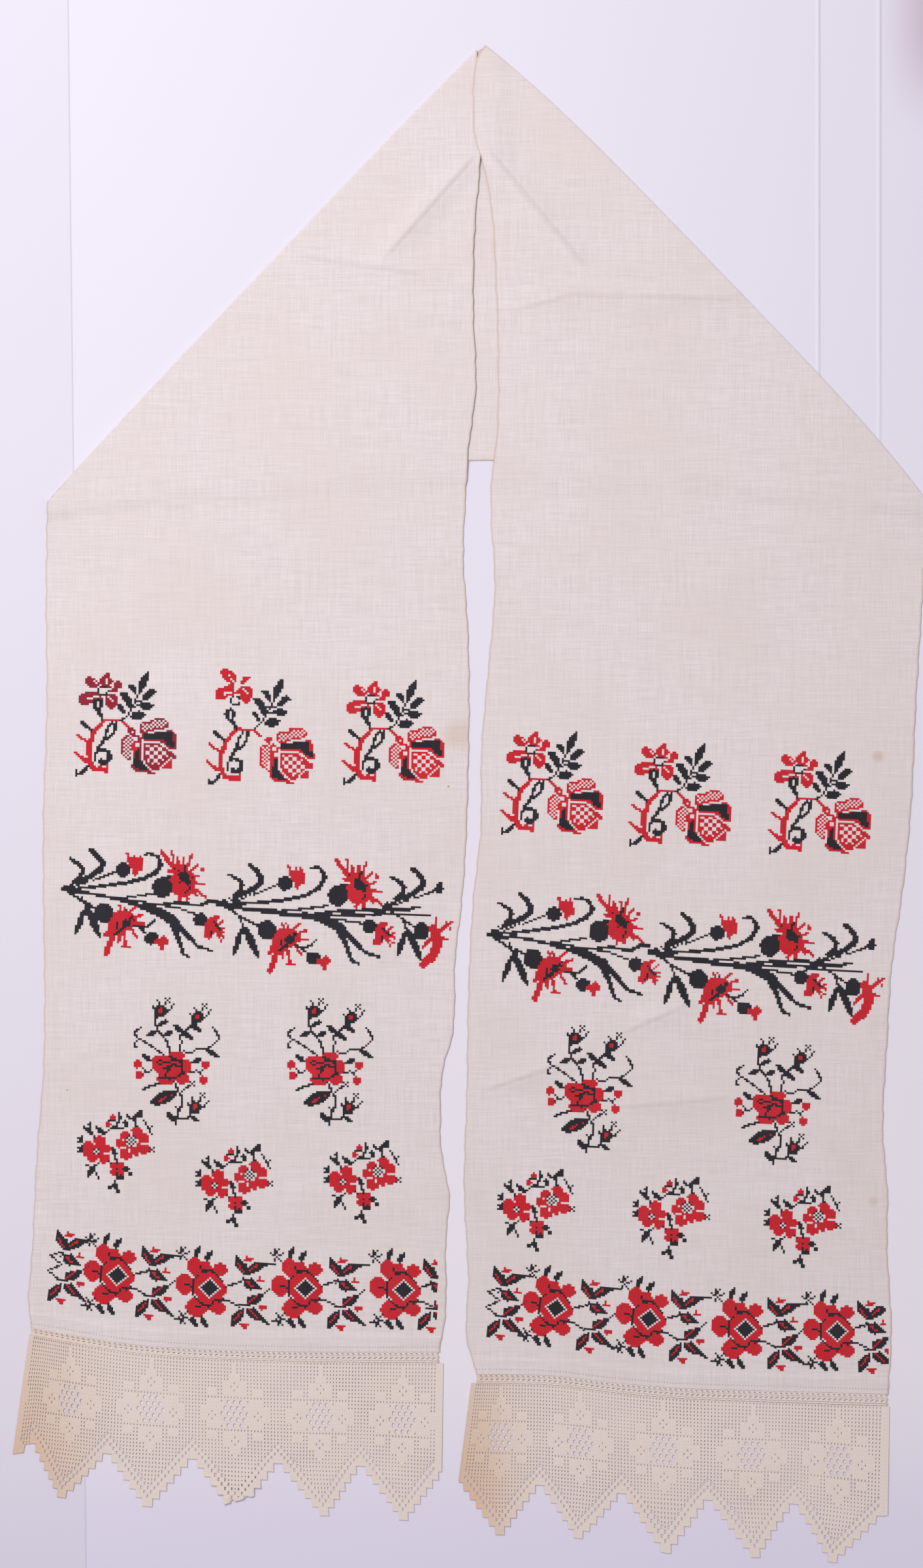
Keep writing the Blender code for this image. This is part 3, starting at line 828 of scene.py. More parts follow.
def draw_lower_carnation(chart):
    chart.line(BLACK, ((30, 53.4), (38, 58)), 2.4)
    chart.area(RED, [
        (52, 64), (60, 61), (70, 62), (77, 68), (76, 74), (69, 78), (60, 83.6), (48, 83.6), (50, 74),
    ])
    # Columns: x and y of the root, x and y of the outer end, width
    rays = (
        (63, 64, 60.4, 56.4, 2.4), (66, 62, 64.4, 57.4, 2), (68, 64, 76, 57.4, 2.6),
        (72, 67, 82, 64.2, 2.6), (74, 72, 82.2, 72.6, 2.4), (71, 77, 76.6, 85.6, 2.4),
        (64.4, 80, 66, 92.8, 3), (55, 82, 48.6, 99, 5.4), (52, 80, 47.4, 83, 3.6),
        (60, 80, 59.8, 88, 3.2),
    )
    for x0, y0, x1, y1, width in rays:
        chart.line(RED, ((x0, y0), (x1, y1)), width)
    chart.line(RED, ((62.6, 93.2), (70.4, 93.6)), 1.8)
    chart.blob(BLACK, 46.4, 62.6, 8.6, 8.8)
    chart.line(BLACK, ((45, 68), (49.6, 70.4)), 3)
    chart.line(BLACK, ((57, 81.6), (63, 77.4), (67, 72.6), (72, 66)), 2.6, 3.4, 1.6)
    chart.blob(BLACK, 66.6, 72.4, 4, 3.4)
    chart.line(BLACK, ((58.8, 71.6), (58.8, 76.6)), 1.8)
    for x, y in ((66.4, 60.8), (72.8, 69), (66, 68.6)):
        chart.dot(BLACK, x, y)


def draw_upper_bud(chart):
    chart.blob(BLACK, 63.6, 24.1, 6.8, 6.6)
    chart.area(RED, [
        (66.2, 7.4), (69.6, 9), (70, 13), (74.6, 13), (81.4, 13), (82, 24.6), (77.6, 25.6), (75.2, 30.4),
        (72.6, 28), (71.8, 23), (68.6, 19.4),
    ])
    for x in (75.8, 80):
        chart.line(RED, ((x - 1.4, 11), (x - 1, 13.4)), 2)


def draw_lower_bud(chart):
    chart.line(BLACK, ((74, 73.8), (82, 76.4), (87, 74.4), (92.6, 69.4)), 2.2, 2.2, 1.6)
    chart.line(BLACK, ((79, 77), (86, 82.4)), 1.8)
    chart.blob(BLACK, 89.4, 85.8, 6.5, 5.8)
    chart.area(RED, [
        (92.4, 86.6), (97.6, 86), (99.4, 83.2), (101.4, 83.2), (102.6, 86), (105, 87), (104.4, 91),
        (101.6, 92), (99.6, 97), (97.8, 96.6), (96, 91.6), (92.6, 91),
    ])


def draw_side_carnation(chart):
    chart.blob(BLACK, 133.6, 69, 6.6, 6.2)
    chart.area(RED, [
        (138.4, 71), (142.6, 65.6), (152, 65.2), (148, 70), (150, 76), (146, 82), (141.4, 86.8),
        (135.8, 84.6), (137.8, 78),
    ])
    for x, y in ((154, 69.8), (155.6, 76.4), (155.4, 80), (154.6, 84.8), (152.4, 88.2)):
        chart.line(RED, ((146, 77), (x, y)), 2.6, 1.8)
    chart.line(BLACK, ((145.8, 71.2), (149, 75.6), (151.6, 77.6)), 1.6, 2.4)
    chart.line(BLACK, ((144.4, 78), (143.4, 83)), 1.8)


def branch_end_chart():
    """The last, cut length of the running branch."""
    chart = Chart(78, 108, (8.9, 40.3), 2)
    draw_join(chart)
    draw_curled_leaves(chart)
    chart.place(draw_forked_leaves, 0, 4)
    chart.area(BLACK, [(55, 26.6), (57, 20.6), (61.6, 18.2), (63.4, 24), (62.6, 28.4), (57.6, 28.6)])
    chart.line(BLACK, ((0, 45), (10, 44.6), (27, 43.3), (42.1, 41.3)), 2.4)
    chart.line(BLACK, ((0, 48), (14.4, 46.9), (32, 47.9), (50.9, 48.4)), 2, 2.4)
    chart.blob(BLACK, 43.3, 62.9, 7.4, 7.7)
    chart.line(RED, ((53.4, 60.5), (58.2, 73.6), (53.4, 85.4), (45.5, 92.5)), 7, 9, 7.6)
    for x, y in ((57, 51.4), (70.8, 54.2), (67.6, 71), (60.2, 76.2), (44, 78)):
        chart.line(RED, ((55, 66), (x, y)), 4.6, 2.2)
    chart.line(RED, ((66, 55), (70, 62)), 2)
    return chart


def rose_sprig_chart():
    """An upright sprig with a full rose, three buds, tendrils and berries."""
    chart = Chart(96, 128, (48.7, 73.9))
    # Columns: x, y, half width, half height of each red lobe
    lobes = (
        (48.7, 73.9, 13.7, 11.5),
        (53.2, 62.8, 6.9, 4.6),
        (37.6, 69.7, 7, 7.6),
        (60.9, 71.8, 6.3, 6.4),
        (43.8, 83.3, 8.8, 5.6),
        (58.3, 83.3, 6.9, 5),
    )
    for lobe in lobes:
        chart.blob(RED, *lobe)
    draw_rose_lines(chart)
    draw_sprig_stems(chart)
    # Columns: x and y of the base, x and y of the tip, width
    leaves = (
        (36.6, 35, 45.8, 30.8, 4.8),
        (36, 40.6, 25.6, 44.8, 4.8),
        (41.6, 44.8, 50, 39.6, 4.8),
        (59.4, 42.4, 50, 34.4, 4.8),
        (59.6, 42.2, 68.8, 48, 4.8),
        (67, 35, 76.4, 41.4, 5),
        (80, 56.6, 91.8, 63.8, 4.8),
        (30.6, 67.4, 21, 61.2, 4.4),
        (67.2, 69, 76, 65, 4.6),
        (65.2, 117, 74.2, 122.4, 4.8),
        (51.4, 121.4, 43.8, 112.6, 6),
        (52.4, 95.6, 28.8, 105.8, 11.6),
    )
    for leaf in leaves:
        chart.leaf(BLACK, *leaf)
    chart.line(RED, ((38.4, 103.2), (44.2, 99.4)), 1.8)
    chart.blob(RED, 48.6, 98.6, 1)
    for x, y in ((17.9, 70.3), (19.2, 80.1), (79.3, 70.9), (77.2, 84.6)):
        chart.blob(RED, x, y, 3.7, 3.8)
    # Columns: x and y of each bud
    for x, y in ((39.3, 21.8), (72.2, 27.8), (70.1, 109)):
        chart.place(draw_rosebud, x, y)
    return chart


def draw_rosebud(chart):
    """A dark bud with a red heart, two horns and two twigs, drawn round its middle."""
    chart.blob(BLACK, 0, 0, 6, 4.9)
    chart.area(BLACK, [(-5.4, 0), (4, 5.6), (-3.2, 6.2), (-5, 8.2)])
    # Columns: points of the line, widths
    lines = (
        (((-5.4, -0.6), (-7.4, -3.6)), 2, 1.4),
        (((-1.6, -4), (-2.2, -7), (-3.6, -9)), 2.4, 1.4),
        (((3.2, -4.6), (5.4, -9)), 1.8),
        (((6.4, 0.8), (9.6, -3), (11.8, -6)), 1.5),
        (((-4.4, 4), (-4.8, 8.4)), 3, 2),
    )
    for points, *widths in lines:
        chart.line(BLACK, points, *widths)
    chart.star(BLACK, 5.6, -9.8)
    chart.blob(RED, -0.4, -0.2, 2.5, 2.1, -30)


def draw_rose_lines(chart):
    # Columns: points of the line, width
    lines = (
        (((47.9, 64.1), (52, 66.4), (56.8, 66.8), (58, 72.6)), 2.8),
        (((58, 72.6), (58.2, 76.4), (60.4, 78), (56.4, 80), (54.6, 81.2)), 2.6),
        (((41.9, 68.4), (50.4, 67.5)), 1.5),
        (((41.6, 74), (47, 72.4), (50.6, 70.8), (55, 72)), 2.4),
        (((47, 74.4), (44.6, 77), (42.9, 80.6)), 2),
        (((36.8, 82.1), (52.1, 82.5)), 1.3),
        (((46.6, 82.5), (46.6, 84.6)), 1.6),
    )
    for points, width in lines:
        chart.line(BLACK, points, width)
    chart.blob(BLACK, 38.6, 68.8, 3.2, 2.4)
    chart.blob(RED, 38.6, 68.8, 1.9, 1.2)


def draw_sprig_stems(chart):
    # Columns: points of the stem, width
    stems = (
        (((47, 59), (44.9, 50.4), (41, 45.3), (36.8, 40.2), (34.6, 35), (34.8, 29)), 1.9),
        (((56, 58.1), (55.6, 53.8), (57.7, 51.3), (56, 45.3), (59, 41.9), (66.7, 35.4)), 1.9),
        (((41, 61.5), (34.2, 56.4), (24.8, 50.4), (18.8, 47.4), (14.5, 41.9), (20.5, 37.6)), 1.7),
        (((18.8, 47.9), (14.4, 52), (15.6, 55.4), (18.4, 53.4)), 1.4),
        (((59.8, 58.5), (65.8, 60.7), (70.9, 56.8), (79.5, 56), (86.3, 53)), 1.8),
        (((86.3, 53), (91.5, 47), (88.9, 41), (85.5, 36.8)), 1.8),
        (((31.2, 75.6), (26.5, 77.4), (23.9, 75.2), (21.4, 72.6)), 1.6),
        (((24.8, 76.9), (22.6, 79.1)), 1.5),
        (((65, 77.8), (70.9, 76), (74.4, 77.4), (77.4, 75.6)), 1.6),
        (((73.5, 77.8), (75.2, 80.3)), 1.5),
        (((38.5, 87.6), (29.9, 89.7), (23, 93.2)), 1.8),
        (((51.3, 86.3), (54.7, 94.9), (57.6, 99.1), (57.6, 107.7), (54, 114.5), (52.2, 123.6)), 2),
        (((51.7, 109.4), (55.6, 110.3)), 1.6),
        (((58.1, 94.9), (66.7, 88)), 1.5),
        (((54.7, 119.7), (62.4, 120), (65, 116.4)), 1.8),
    )
    for points, width in stems:
        chart.line(BLACK, points, width)
    chart.star(BLACK, 67.5, 87.8)


def posy_chart():
    """Two open flowers and a small one, with buds and twigs."""
    chart = Chart(82, 82, (28, 42.7))
    # Columns: x, y, half width, half height of each petal
    petals = (
        (30.9, 33.2, 5.8, 4.9), (20.9, 37.2, 4.8, 4.4), (20, 43.4, 4.6, 4.2), (24.4, 48.2, 5, 3.9),
        (34.8, 48.6, 5.8, 4.9), (37, 40.6, 4.4, 4.6), (28, 42, 6.2, 6.2),
        (64.1, 24.2, 4.9, 4.4), (70.9, 30.8, 5.2, 4.5), (71.3, 40.2, 5.6, 4.9), (63.7, 43.2, 2.8, 4.2),
        (55, 44.4, 6.2, 5.6), (49.8, 35.3, 4.6, 4.6), (53.6, 28.4, 4.6, 4.6), (60.4, 34.6, 9.4, 8.8),
        (43.4, 55.2, 3.4, 3.1), (50, 55.2, 3.4, 3.1), (43.4, 61.2, 3.4, 3.1), (50, 61.2, 3.4, 3.1),
        (46.7, 58.2, 3, 3), (42, 12.2, 2.9, 2.8), (38.6, 18.2, 2.5, 2.9),
    )
    for petal in petals:
        chart.blob(RED, *petal)
    for points in (
        ((25.2, 33.4), (25.4, 37)), ((35.4, 44), (40.4, 44.2)), ((29.6, 50), (29.8, 52)),
        ((50.2, 39.2), (53.4, 39.2)), ((58.6, 24.6), (58.8, 27)), ((69, 35.4), (75, 35.4)),
        ((58.2, 41.2), (58.4, 43.6)), ((51.4, 32), (51.6, 32.4)), ((46.7, 52.6), (46.7, 53.4)),
    ):
        chart.line(BARE, points, 1.1)
    chart.blob(BARE, 28, 42.7, 2.7)
    chart.star(BLACK, 28, 42.7)
    chart.blob(BARE, 59.8, 33.4, 5.4, 5.2)
    heart = (chart.squares == BARE) & (np.hypot(chart.x - 59.8, chart.y - 33.4) < 5.2)
    chart.squares[heart & ((chart.column + chart.row) % 2 == 0)] = BLACK
    chart.dot(BLACK, 46.4, 58.6)
    draw_posy_greenery(chart)
    return chart


def draw_posy_greenery(chart):
    chart.area(BLACK, [(57.6, 13), (68.9, 4.4), (69.1, 11.6), (62, 13.4)])
    # Columns: points of the twig, width
    twigs = (
        (((55.6, 9.6), (58.4, 13), (62, 14.6), (64.2, 20)), 2.2),
        (((46, 15.8), (47.6, 22.4), (52, 21.6), (56, 19)), 2),
        (((48.4, 7.2), (49.6, 12.6), (47.6, 17)), 2.2),
        (((34, 27.3), (42, 21.3), (50, 21.9)), 1.5),
        (((39.8, 14.6), (45.4, 14.6)), 1.6),
        (((22, 17.6), (22.4, 22)), 3.2),
        (((17.4, 21), (22, 24.6), (24.4, 27)), 3),
        (((24.4, 27), (27, 30.6)), 1.8),
        (((30.7, 52.7), (25, 56.4)), 1.5),
        (((25.3, 57.3), (27.4, 61.4), (30.5, 67.2)), 2.2),
        (((18.7, 54.9), (24, 56.6), (26, 58.2)), 2.2),
        (((70.6, 15), (75.2, 22), (78.6, 19.6)), 1.6),
        (((75.2, 22), (77.6, 26.8)), 1.6),
        (((46, 52.4), (44.9, 45), (43.3, 39.3)), 1.9),
        (((41.8, 42.5), (44.7, 45.6), (47.3, 43.8)), 1.5),
        (((38.6, 51), (40.4, 53.4)), 1.5),
        (((46.4, 62.6), (45, 71.6), (40, 75.4)), 1.9),
        (((45, 72), (47.2, 78.2)), 3.4),
    )
    for points, width in twigs:
        chart.line(BLACK, points, width)
    for x, y, half_width, half_height in (
        (54.4, 17, 2.8, 2.3), (43.3, 20.7, 2.4, 1.8), (54.9, 58.7, 2.9, 2.5), (58.6, 62.4, 1.9, 1.9),
        (50.2, 65.8, 2.7, 2.3), (40, 75.2, 2.4, 1.5),
    ):
        chart.blob(BLACK, x, y, half_width, half_height)
    chart.leaf(BLACK, 35.6, 27.6, 27.6, 19.8, 4.8)
    chart.leaf(BLACK, 25.8, 56.4, 20.2, 65.6, 5.4)
    for x, y in ((13.4, 32), (13.4, 40.4)):
        chart.line(BLACK, ((x - 2.2, y - 2), (x + 2.4, y - 1.2)), 1.8)
        chart.line(BLACK, ((x - 2.2, y + 1.6), (x + 2.2, y + 1.4)), 1.8)
        chart.line(BLACK, ((x + 2, y - 2.6), (x + 2.2, y + 2.4)), 1.6)
        chart.star(BLACK, x, y)
    chart.star(BLACK, 77.6, 41)


def border_rose_chart():
    """A full rose of the border, with its dark diamond, and the stems and small leaves round it."""
    chart = Chart(76, 92, (0, 0), 5.5)
    # Columns: x, y, half width, half height of each red lobe
    lobes = (
        (-12.5, -20.2, 6.6, 8.6), (-3.6, -19.2, 5.8, 5.4), (10, -16.2, 6.7, 6), (-22.4, -4.4, 7.8, 9.9),
        (-12.2, 16.8, 10.2, 8.9), (7.1, 18, 6.6, 6.1), (-2, 14, 8, 6),
    )
    for lobe in lobes:
        chart.blob(RED, *lobe)
    chart.area(RED, [
        (-14.6, -7), (-7, -14.4), (3, -14.6), (11, -7), (15, -1), (14.4, 5), (10, 10), (2, 14), (-6, 13),
        (-14, 5),
    ])
    # Columns: points of the line, width
    lines = (
        (((-7.5, -19.3), (-5.4, -15.6), (2, -15.6), (6.8, -11.6), (11.6, -6.6)), 1.6),
        (((-5.4, -15.6), (2.2, -15.4)), 2.6),
        (((-12.2, -9.8), (-14, -7.5), (-14.6, 3.2)), 1.5),
        (((-12.4, -9.8), (-9, -11.4)), 1.4),
        (((-21.7, -3.9), (-18.6, -3.4), (-15.8, -1.5)), 1.6),
        (((-17, 4.4), (-13.4, 7.9), (-7.5, 13.9), (-3, 16.2), (0.4, 15.6), (4.4, 11.5), (12.7, 10.3)), 1.5),
        (((-6.6, 14.8), (-1, 16.2)), 3),
        (((-12.2, 16.8), (-7, 15.4)), 1.8),
        (((-24, -31.6), (-18.1, -25.3)), 1.5),
        (((-25.6, 25.6), (-20.5, 21)), 1.5),
        (((15.2, -0.8), (22.3, -2.9), (27.6, -4.4)), 1.5),
        (((8, 12.4), (14.6, 11.2), (20, 14.4), (28.6, 19.8)), 1.5),
    )
    for points, width in lines:
        chart.line(BLACK, points, width)
    # Columns: x and y of the base, x and y of the tip, width
    leaves = (
        (-12.4, -28.2, -7, -38.2, 5), (-2.4, -25, 3.2, -33.4, 5),
        (-18, 25.4, -12.6, 34.6, 5), (-8.8, 26, -3.4, 36, 5),
    )
    for leaf in leaves:
        chart.leaf(BLACK, *leaf)
    # Columns: x and y of the middle of a tuft, and of the outer ends of its twigs
    tufts = (
        ((-24, -31.6), (-29.4, -34.8), (-25.2, -38.2), (-21, -37.4), (-17.4, -32.6), (-25.4, -26.6)),
        ((-25.6, 25.6), (-31.6, 26.8), (-28.2, 31.6), (-23.8, 31.6), (-19.2, 27.2), (-27.4, 19.2)),
    )
    for (x, y), *ends in tufts:
        for u, v in ends:
            chart.line(BLACK, ((0.6 * x + 0.4 * u, 0.6 * y + 0.4 * v), (u, v)), 1.5)
        chart.dot(BLACK, x, y)
    diamond = np.abs(chart.column) + np.abs(chart.row)
    chart.squares[diamond <= 4] = BLACK
    chart.squares[diamond == 5] = BARE
    return chart


def border_leaves_chart(zigzag, reach=None):
    """Two clusters of dark leaves with red veins. The first starts with a zigzag, the last is cut."""
    chart = Chart(62, 84, (0, 0), 4)
    # Columns: ends of the vein of a leaf, outline of the leaf
    leaves = (
        ((-6.2, -25), (-0.2, -18), [
            (-8.3, -33.8), (2.2, -24), (2.2, -15.4), (0, -14.2), (-8.6, -23.4),
        ]),
        ((4.8, -18.6), (11.8, -24), [
            (1.5, -15.5), (2.2, -20.4), (6.5, -25.2), (11, -26.6), (28, -26), (28, -24.2), (22, -23.2),
            (16, -20.6), (9.5, -16.2), (4, -14.6),
        ]),
        ((1.8, -9.2), (8.4, -4.2), [
            (-1.2, -12.2), (7, -11.8), (11.8, -7), (16.8, -0.6), (8.7, -1.2), (4, -1.4), (-1.2, -5.6),
        ]),
        ((3.8, 10.4), (10.4, 5), [
            (1, 12.4), (1.5, 6.4), (6.6, 3.6), (18.9, 1.6), (14.8, 7.7), (10.7, 12), (4.6, 12.8),
        ]),
        ((-2.8, 19), (-8.8, 26), [
            (0.2, 14.6), (0.2, 22.6), (-5, 27.4), (-10.8, 32.2), (-12.6, 32.4), (-12.4, 23.4), (-6, 16.8),
        ]),
        ((4.2, 16.8), (12, 24), [
            (1.2, 14.2), (8.9, 14.6), (15, 21.2), (20, 27), (25, 31.6), (14, 26.8), (6.6, 24.6), (1.2, 20),
        ]),
    )
    for start, end, outline in leaves:
        chart.area(BLACK, outline)
        for x, y in np.linspace(start, end, 5):
            chart.dot(RED, x, y)
    triangles = (
        [(-2.2, -26.6), (1, -29.4), (2.5, -32.6), (4.5, -30.4), (9.6, -29.8), (5, -27)],
        [(10.6, -8.4), (13.6, -13.8), (15.2, -10.8), (19.2, -9.6), (15.4, -8)],
        [(11.6, 12.4), (15, 12), (22.8, 14.8), (17.4, 16.4), (16, 18)],
        [(-5.2, 29), (6.4, 29), (2.6, 32), (0.6, 35), (-2.4, 31.8)],
    )
    for triangle in triangles:
        chart.area(RED, triangle)
    twigs = [
        ((-2.6, -8.6), (-0.6, -12.9), (0.8, -15.4)),
        ((-4, 11.8), (0.9, 12.9)),
        ((18, 2.2), (23.6, -2.4)),
    ]
    if zigzag:
        twigs.append((
            (-0.6, -13), (-6.2, -11.8), (-12.3, -9.4), (-2.1, -2), (-9.3, 3), (-13.8, 4.1), (-1.1, 13),
        ))
    for points in twigs:
        chart.line(BLACK, points, 1.5)
    if reach is not None:
        chart.squares[chart.x > reach] = BARE
    return chart


# One leg of a stitch. Columns: place along it, place aside, whether it is raised, lightness painted on the
# thread as its light and shade
LEG = np.array((
    (-0.5, 0.0, 0.25, 0.5),
    (-0.26, 1.0, 0.0, 0.15),
    (0.26, 1.0, 0.0, 0.15),
    (0.5, 0.0, 0.25, 0.5),
    (0.26, -1.0, 0.0, 0.15),
    (-0.26, -1.0, 0.0, 0.15),
    (0.0, 0.0, 1.0, 1.0),
))
LEG_FACES = np.array(((0, 1, 6), (1, 2, 6), (2, 3, 6), (3, 4, 6), (4, 5, 6), (5, 0, 6)))
LEG_RISE = (0.34, 0.44)   # least and greatest height of a leg
LEG_WIDTH = (0.21, 0.26)  # and half width, as a share of the stitch
LEG_SINK = 0.06           # by which its rim is below the top of the ground
UPPER_LEG_LIFT = 0.07
PAD_LIFT = 0.2            # of the ground of thread under the legs
PAD_REACH = (0.47, 0.5)   # from the middle towards bare linen, and towards another stitch


def stitch_piece(name, end, placings, threads, seed):
    """Cross-stitches of one row of motifs: two crossed legs each, lit on their ridges, over a ground of
    thread in painted shade.
    """
    random = np.random.default_rng(seed)
    legs, leg_painted_light, leg_threads, pads, pad_threads = [], [], [], [], []
    for chart, anchor_x, anchor_y, turn in placings:
        rows, columns = np.nonzero(chart.squares)
        thread = chart.squares[rows, columns]
        right, down = chart.column[rows, columns], chart.row[rows, columns]
        angle = math.radians(turn) - chart.tilt

        def lay(u, v, height):
            """Points on the linen from stitches right of and below the anchor."""
            across, back = u * STITCH_WIDTH, v * STITCH_HEIGHT
            x = anchor_x + across * math.cos(angle) + back * math.sin(angle)
            y = anchor_y + across * math.sin(angle) - back * math.cos(angle)
            return np.stack((x, y, front_low(end, x, y) + LINEN + height), -1)

        for lean, lift in ((1, 0.0), (-1, UPPER_LEG_LIFT)):
            aside = random.uniform(*LEG_WIDTH, (len(rows), 1)) * LEG[:, 1] * math.sqrt(0.5)
            rise = random.uniform(*LEG_RISE, (len(rows), 1)) + lift
            height = PAD_LIFT - LEG_SINK + rise * LEG[:, 2]
            legs.append(lay(
                right[:, None] + LEG[:, 0] - lean * aside,
                down[:, None] + lean * LEG[:, 0] + aside,
                height,
            ))
            leg_painted_light.append(np.tile(LEG[:, 3], (len(rows), 1)))
            leg_threads.append(thread)

        stitched = chart.squares != BARE
        left, right_side, above, below = (
            np.where(np.roll(stitched, step, axis)[rows, columns], *PAD_REACH[::-1])
            for step, axis in ((1, 1), (-1, 1), (1, 0), (-1, 0))
        )
        pads.append(lay(
            right[:, None] + np.stack((-left, right_side, right_side, -left), -1),
            down[:, None] + np.stack((below, below, -above, -above), -1),
            PAD_LIFT,
        ))
        pad_threads.append(thread)

    legs, pads = np.concatenate(legs), np.concatenate(pads)
    leg_faces = (np.arange(len(legs))[:, None, None] * len(LEG) + LEG_FACES).reshape(-1, 3)
    pad_faces = legs.shape[0] * len(LEG) + np.arange(len(pads) * 4).reshape(-1, 4)
    finish = np.concatenate((
        np.repeat(np.concatenate(leg_threads), len(LEG_FACES)),
        np.concatenate(pad_threads),
    ))
    # Painted light and shade of each point: the lightness of the legs, and none on the ground, which is
    # left in painted shade
    rise = np.concatenate((np.concatenate(leg_painted_light).ravel(), np.zeros(len(pads) * 4)))
    points = np.concatenate((legs.reshape(-1, 3), pads.reshape(-1, 3)))
    piece = make_piece(name, points, [leg_faces, pad_faces], threads, finish - 1, rise=rise)
    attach(piece, "root")
    return piece


# Materials


class Socket:
    """A value or colour in a material. Python's operators on it add the nodes."""

    def __init__(self, paint, link):
        self.paint = paint
        self.link = link

    def __add__(self, other):
        return self.paint.maths("ADD", self, other)

    def __radd__(self, other):
        return self.paint.maths("ADD", other, self)

    def __sub__(self, other):
        return self.paint.maths("SUBTRACT", self, other)

    def __rsub__(self, other):
        return self.paint.maths("SUBTRACT", other, self)

    def __mul__(self, other):
        return self.paint.maths("MULTIPLY", self, other)

    def __rmul__(self, other):
        return self.paint.maths("MULTIPLY", other, self)

    def __pow__(self, other):
        return self.paint.maths("POWER", self, other)

    def __abs__(self):
        return self.paint.maths("ABSOLUTE", self)


class Paint:
    """One material and the nodes that it is made of."""

    def __init__(self, name, roughness, sheen=0.0):
        self.material = bpy.data.materials.new(name)
        self.material.use_nodes = True
        self.shader = self.material.node_tree.nodes["Principled BSDF"]
        self.set("Roughness", roughness)
        self.set("Specular IOR Level", 0.25)
        self.set("Sheen Weight", sheen)
        self.set("Sheen Roughness", 0.6)

    def node(self, kind, settings, values, output=0):
        """Add a node: its settings are set first, then the values or links of its sockets."""
        made = self.material.node_tree.nodes.new(kind)
        for setting, value in settings.items():
            setattr(made, setting, value)
        for socket, value in values.items():
            self.join(value, made.inputs[socket])
        return Socket(self, made.outputs[output])

    def join(self, value, socket):
        if isinstance(value, Socket):
            self.material.node_tree.links.new(value.link, socket)
        else:
            socket.default_value = value

    def set(self, name, value):
        self.join(value, self.shader.inputs[name])

    def maths(self, operation, *values):
        return self.node("ShaderNodeMath", {"operation": operation}, dict(enumerate(values)))

    def sine(self, value):
        return self.maths("SINE", value)

    def least(self, first, second):
        return self.maths("MINIMUM", first, second)

    def place(self):
        """Where a point is in the shared frame, in metres."""
        return self.node("ShaderNodeTexCoord", {}, {}, output=3)

    def unrolled(self):
        """Where a point is on the flat sheet or chart of its piece: across and along it."""
        return self.parts(self.node("ShaderNodeUVMap", {"uv_map": "UVMap"}, {}))

    def parts(self, vector):
        """The first two numbers of a vector."""
        first = self.node("ShaderNodeSeparateXYZ", {}, {0: vector})
        return first, Socket(self, first.link.node.outputs[1])

    def noise(self, vector, scale, detail):
        """Smooth noise, from about 0 to 1."""
        return self.node("ShaderNodeTexNoise", {}, {"Vector": vector, "Scale": scale, "Detail": detail})

    def streaks(self, vector, right, up, detail):
        """Noise with its own number of waves a metre to the right and up."""
        values = {0: vector, 1: (right, up, 0.0)}
        stretched = self.node("ShaderNodeVectorMath", {"operation": "MULTIPLY"}, values)
        return self.noise(stretched, 1.0, detail)

    def mix(self, share, first, second):
        """Blend two colours."""
        return self.node(
            "ShaderNodeMix", {"data_type": "RGBA"}, {0: share, 6: first, 7: second}, output=2
        )

    def ramp(self, value, low, high):
        """0 below low, 1 above high, smooth between."""
        return self.node(
            "ShaderNodeMapRange", {"interpolation_type": "SMOOTHSTEP"},
            {"Value": value, "From Min": low, "From Max": high},
        )

    def bump(self, height, distance, strength):
        """Raise the surface by a height from 0 to 1 times a distance in metres."""
        inputs = {"Height": height, "Distance": distance, "Strength": strength}
        self.set("Normal", self.node("ShaderNodeBump", {}, inputs))


def colour(red, green, blue):
    """A colour given as it looks on a screen, from 0 to 255."""
    def linear(value):
        value = value / 255
        return value / 12.92 if value <= 0.04045 else ((value + 0.055) / 1.055) ** 2.4
    return (linear(red), linear(green), linear(blue), 1.0)


# Noise waves a metre, across a thread and along it
THREAD_WAVES = (1300.0, 45.0)
SLUB_WAVES = (420.0, 16.0)
BAR_WAVES = (420.0, 12.0)
THREAD_BEAT = 6000.0      # radians a metre, for the threads as they are raised
HOLE_BEAT = 2244.0        # radians a metre, for a hole of the hem each 2.8 mm
CREASE_RIDGE = 4.5         # half width of the sharp middle of a crease

# Columns: x, y, reach, strength of each stain
STAINS = (
    (386.6, 45.0, 8.0, 0.4),
    (382.0, -377.5, 7.0, 0.25),
    (-12.0, 66.0, 22.0, 0.3),
    (-21.0, 16.6, 1.6, 1.0),
    (-382.9, -271.5, 1.4, 0.8),
)


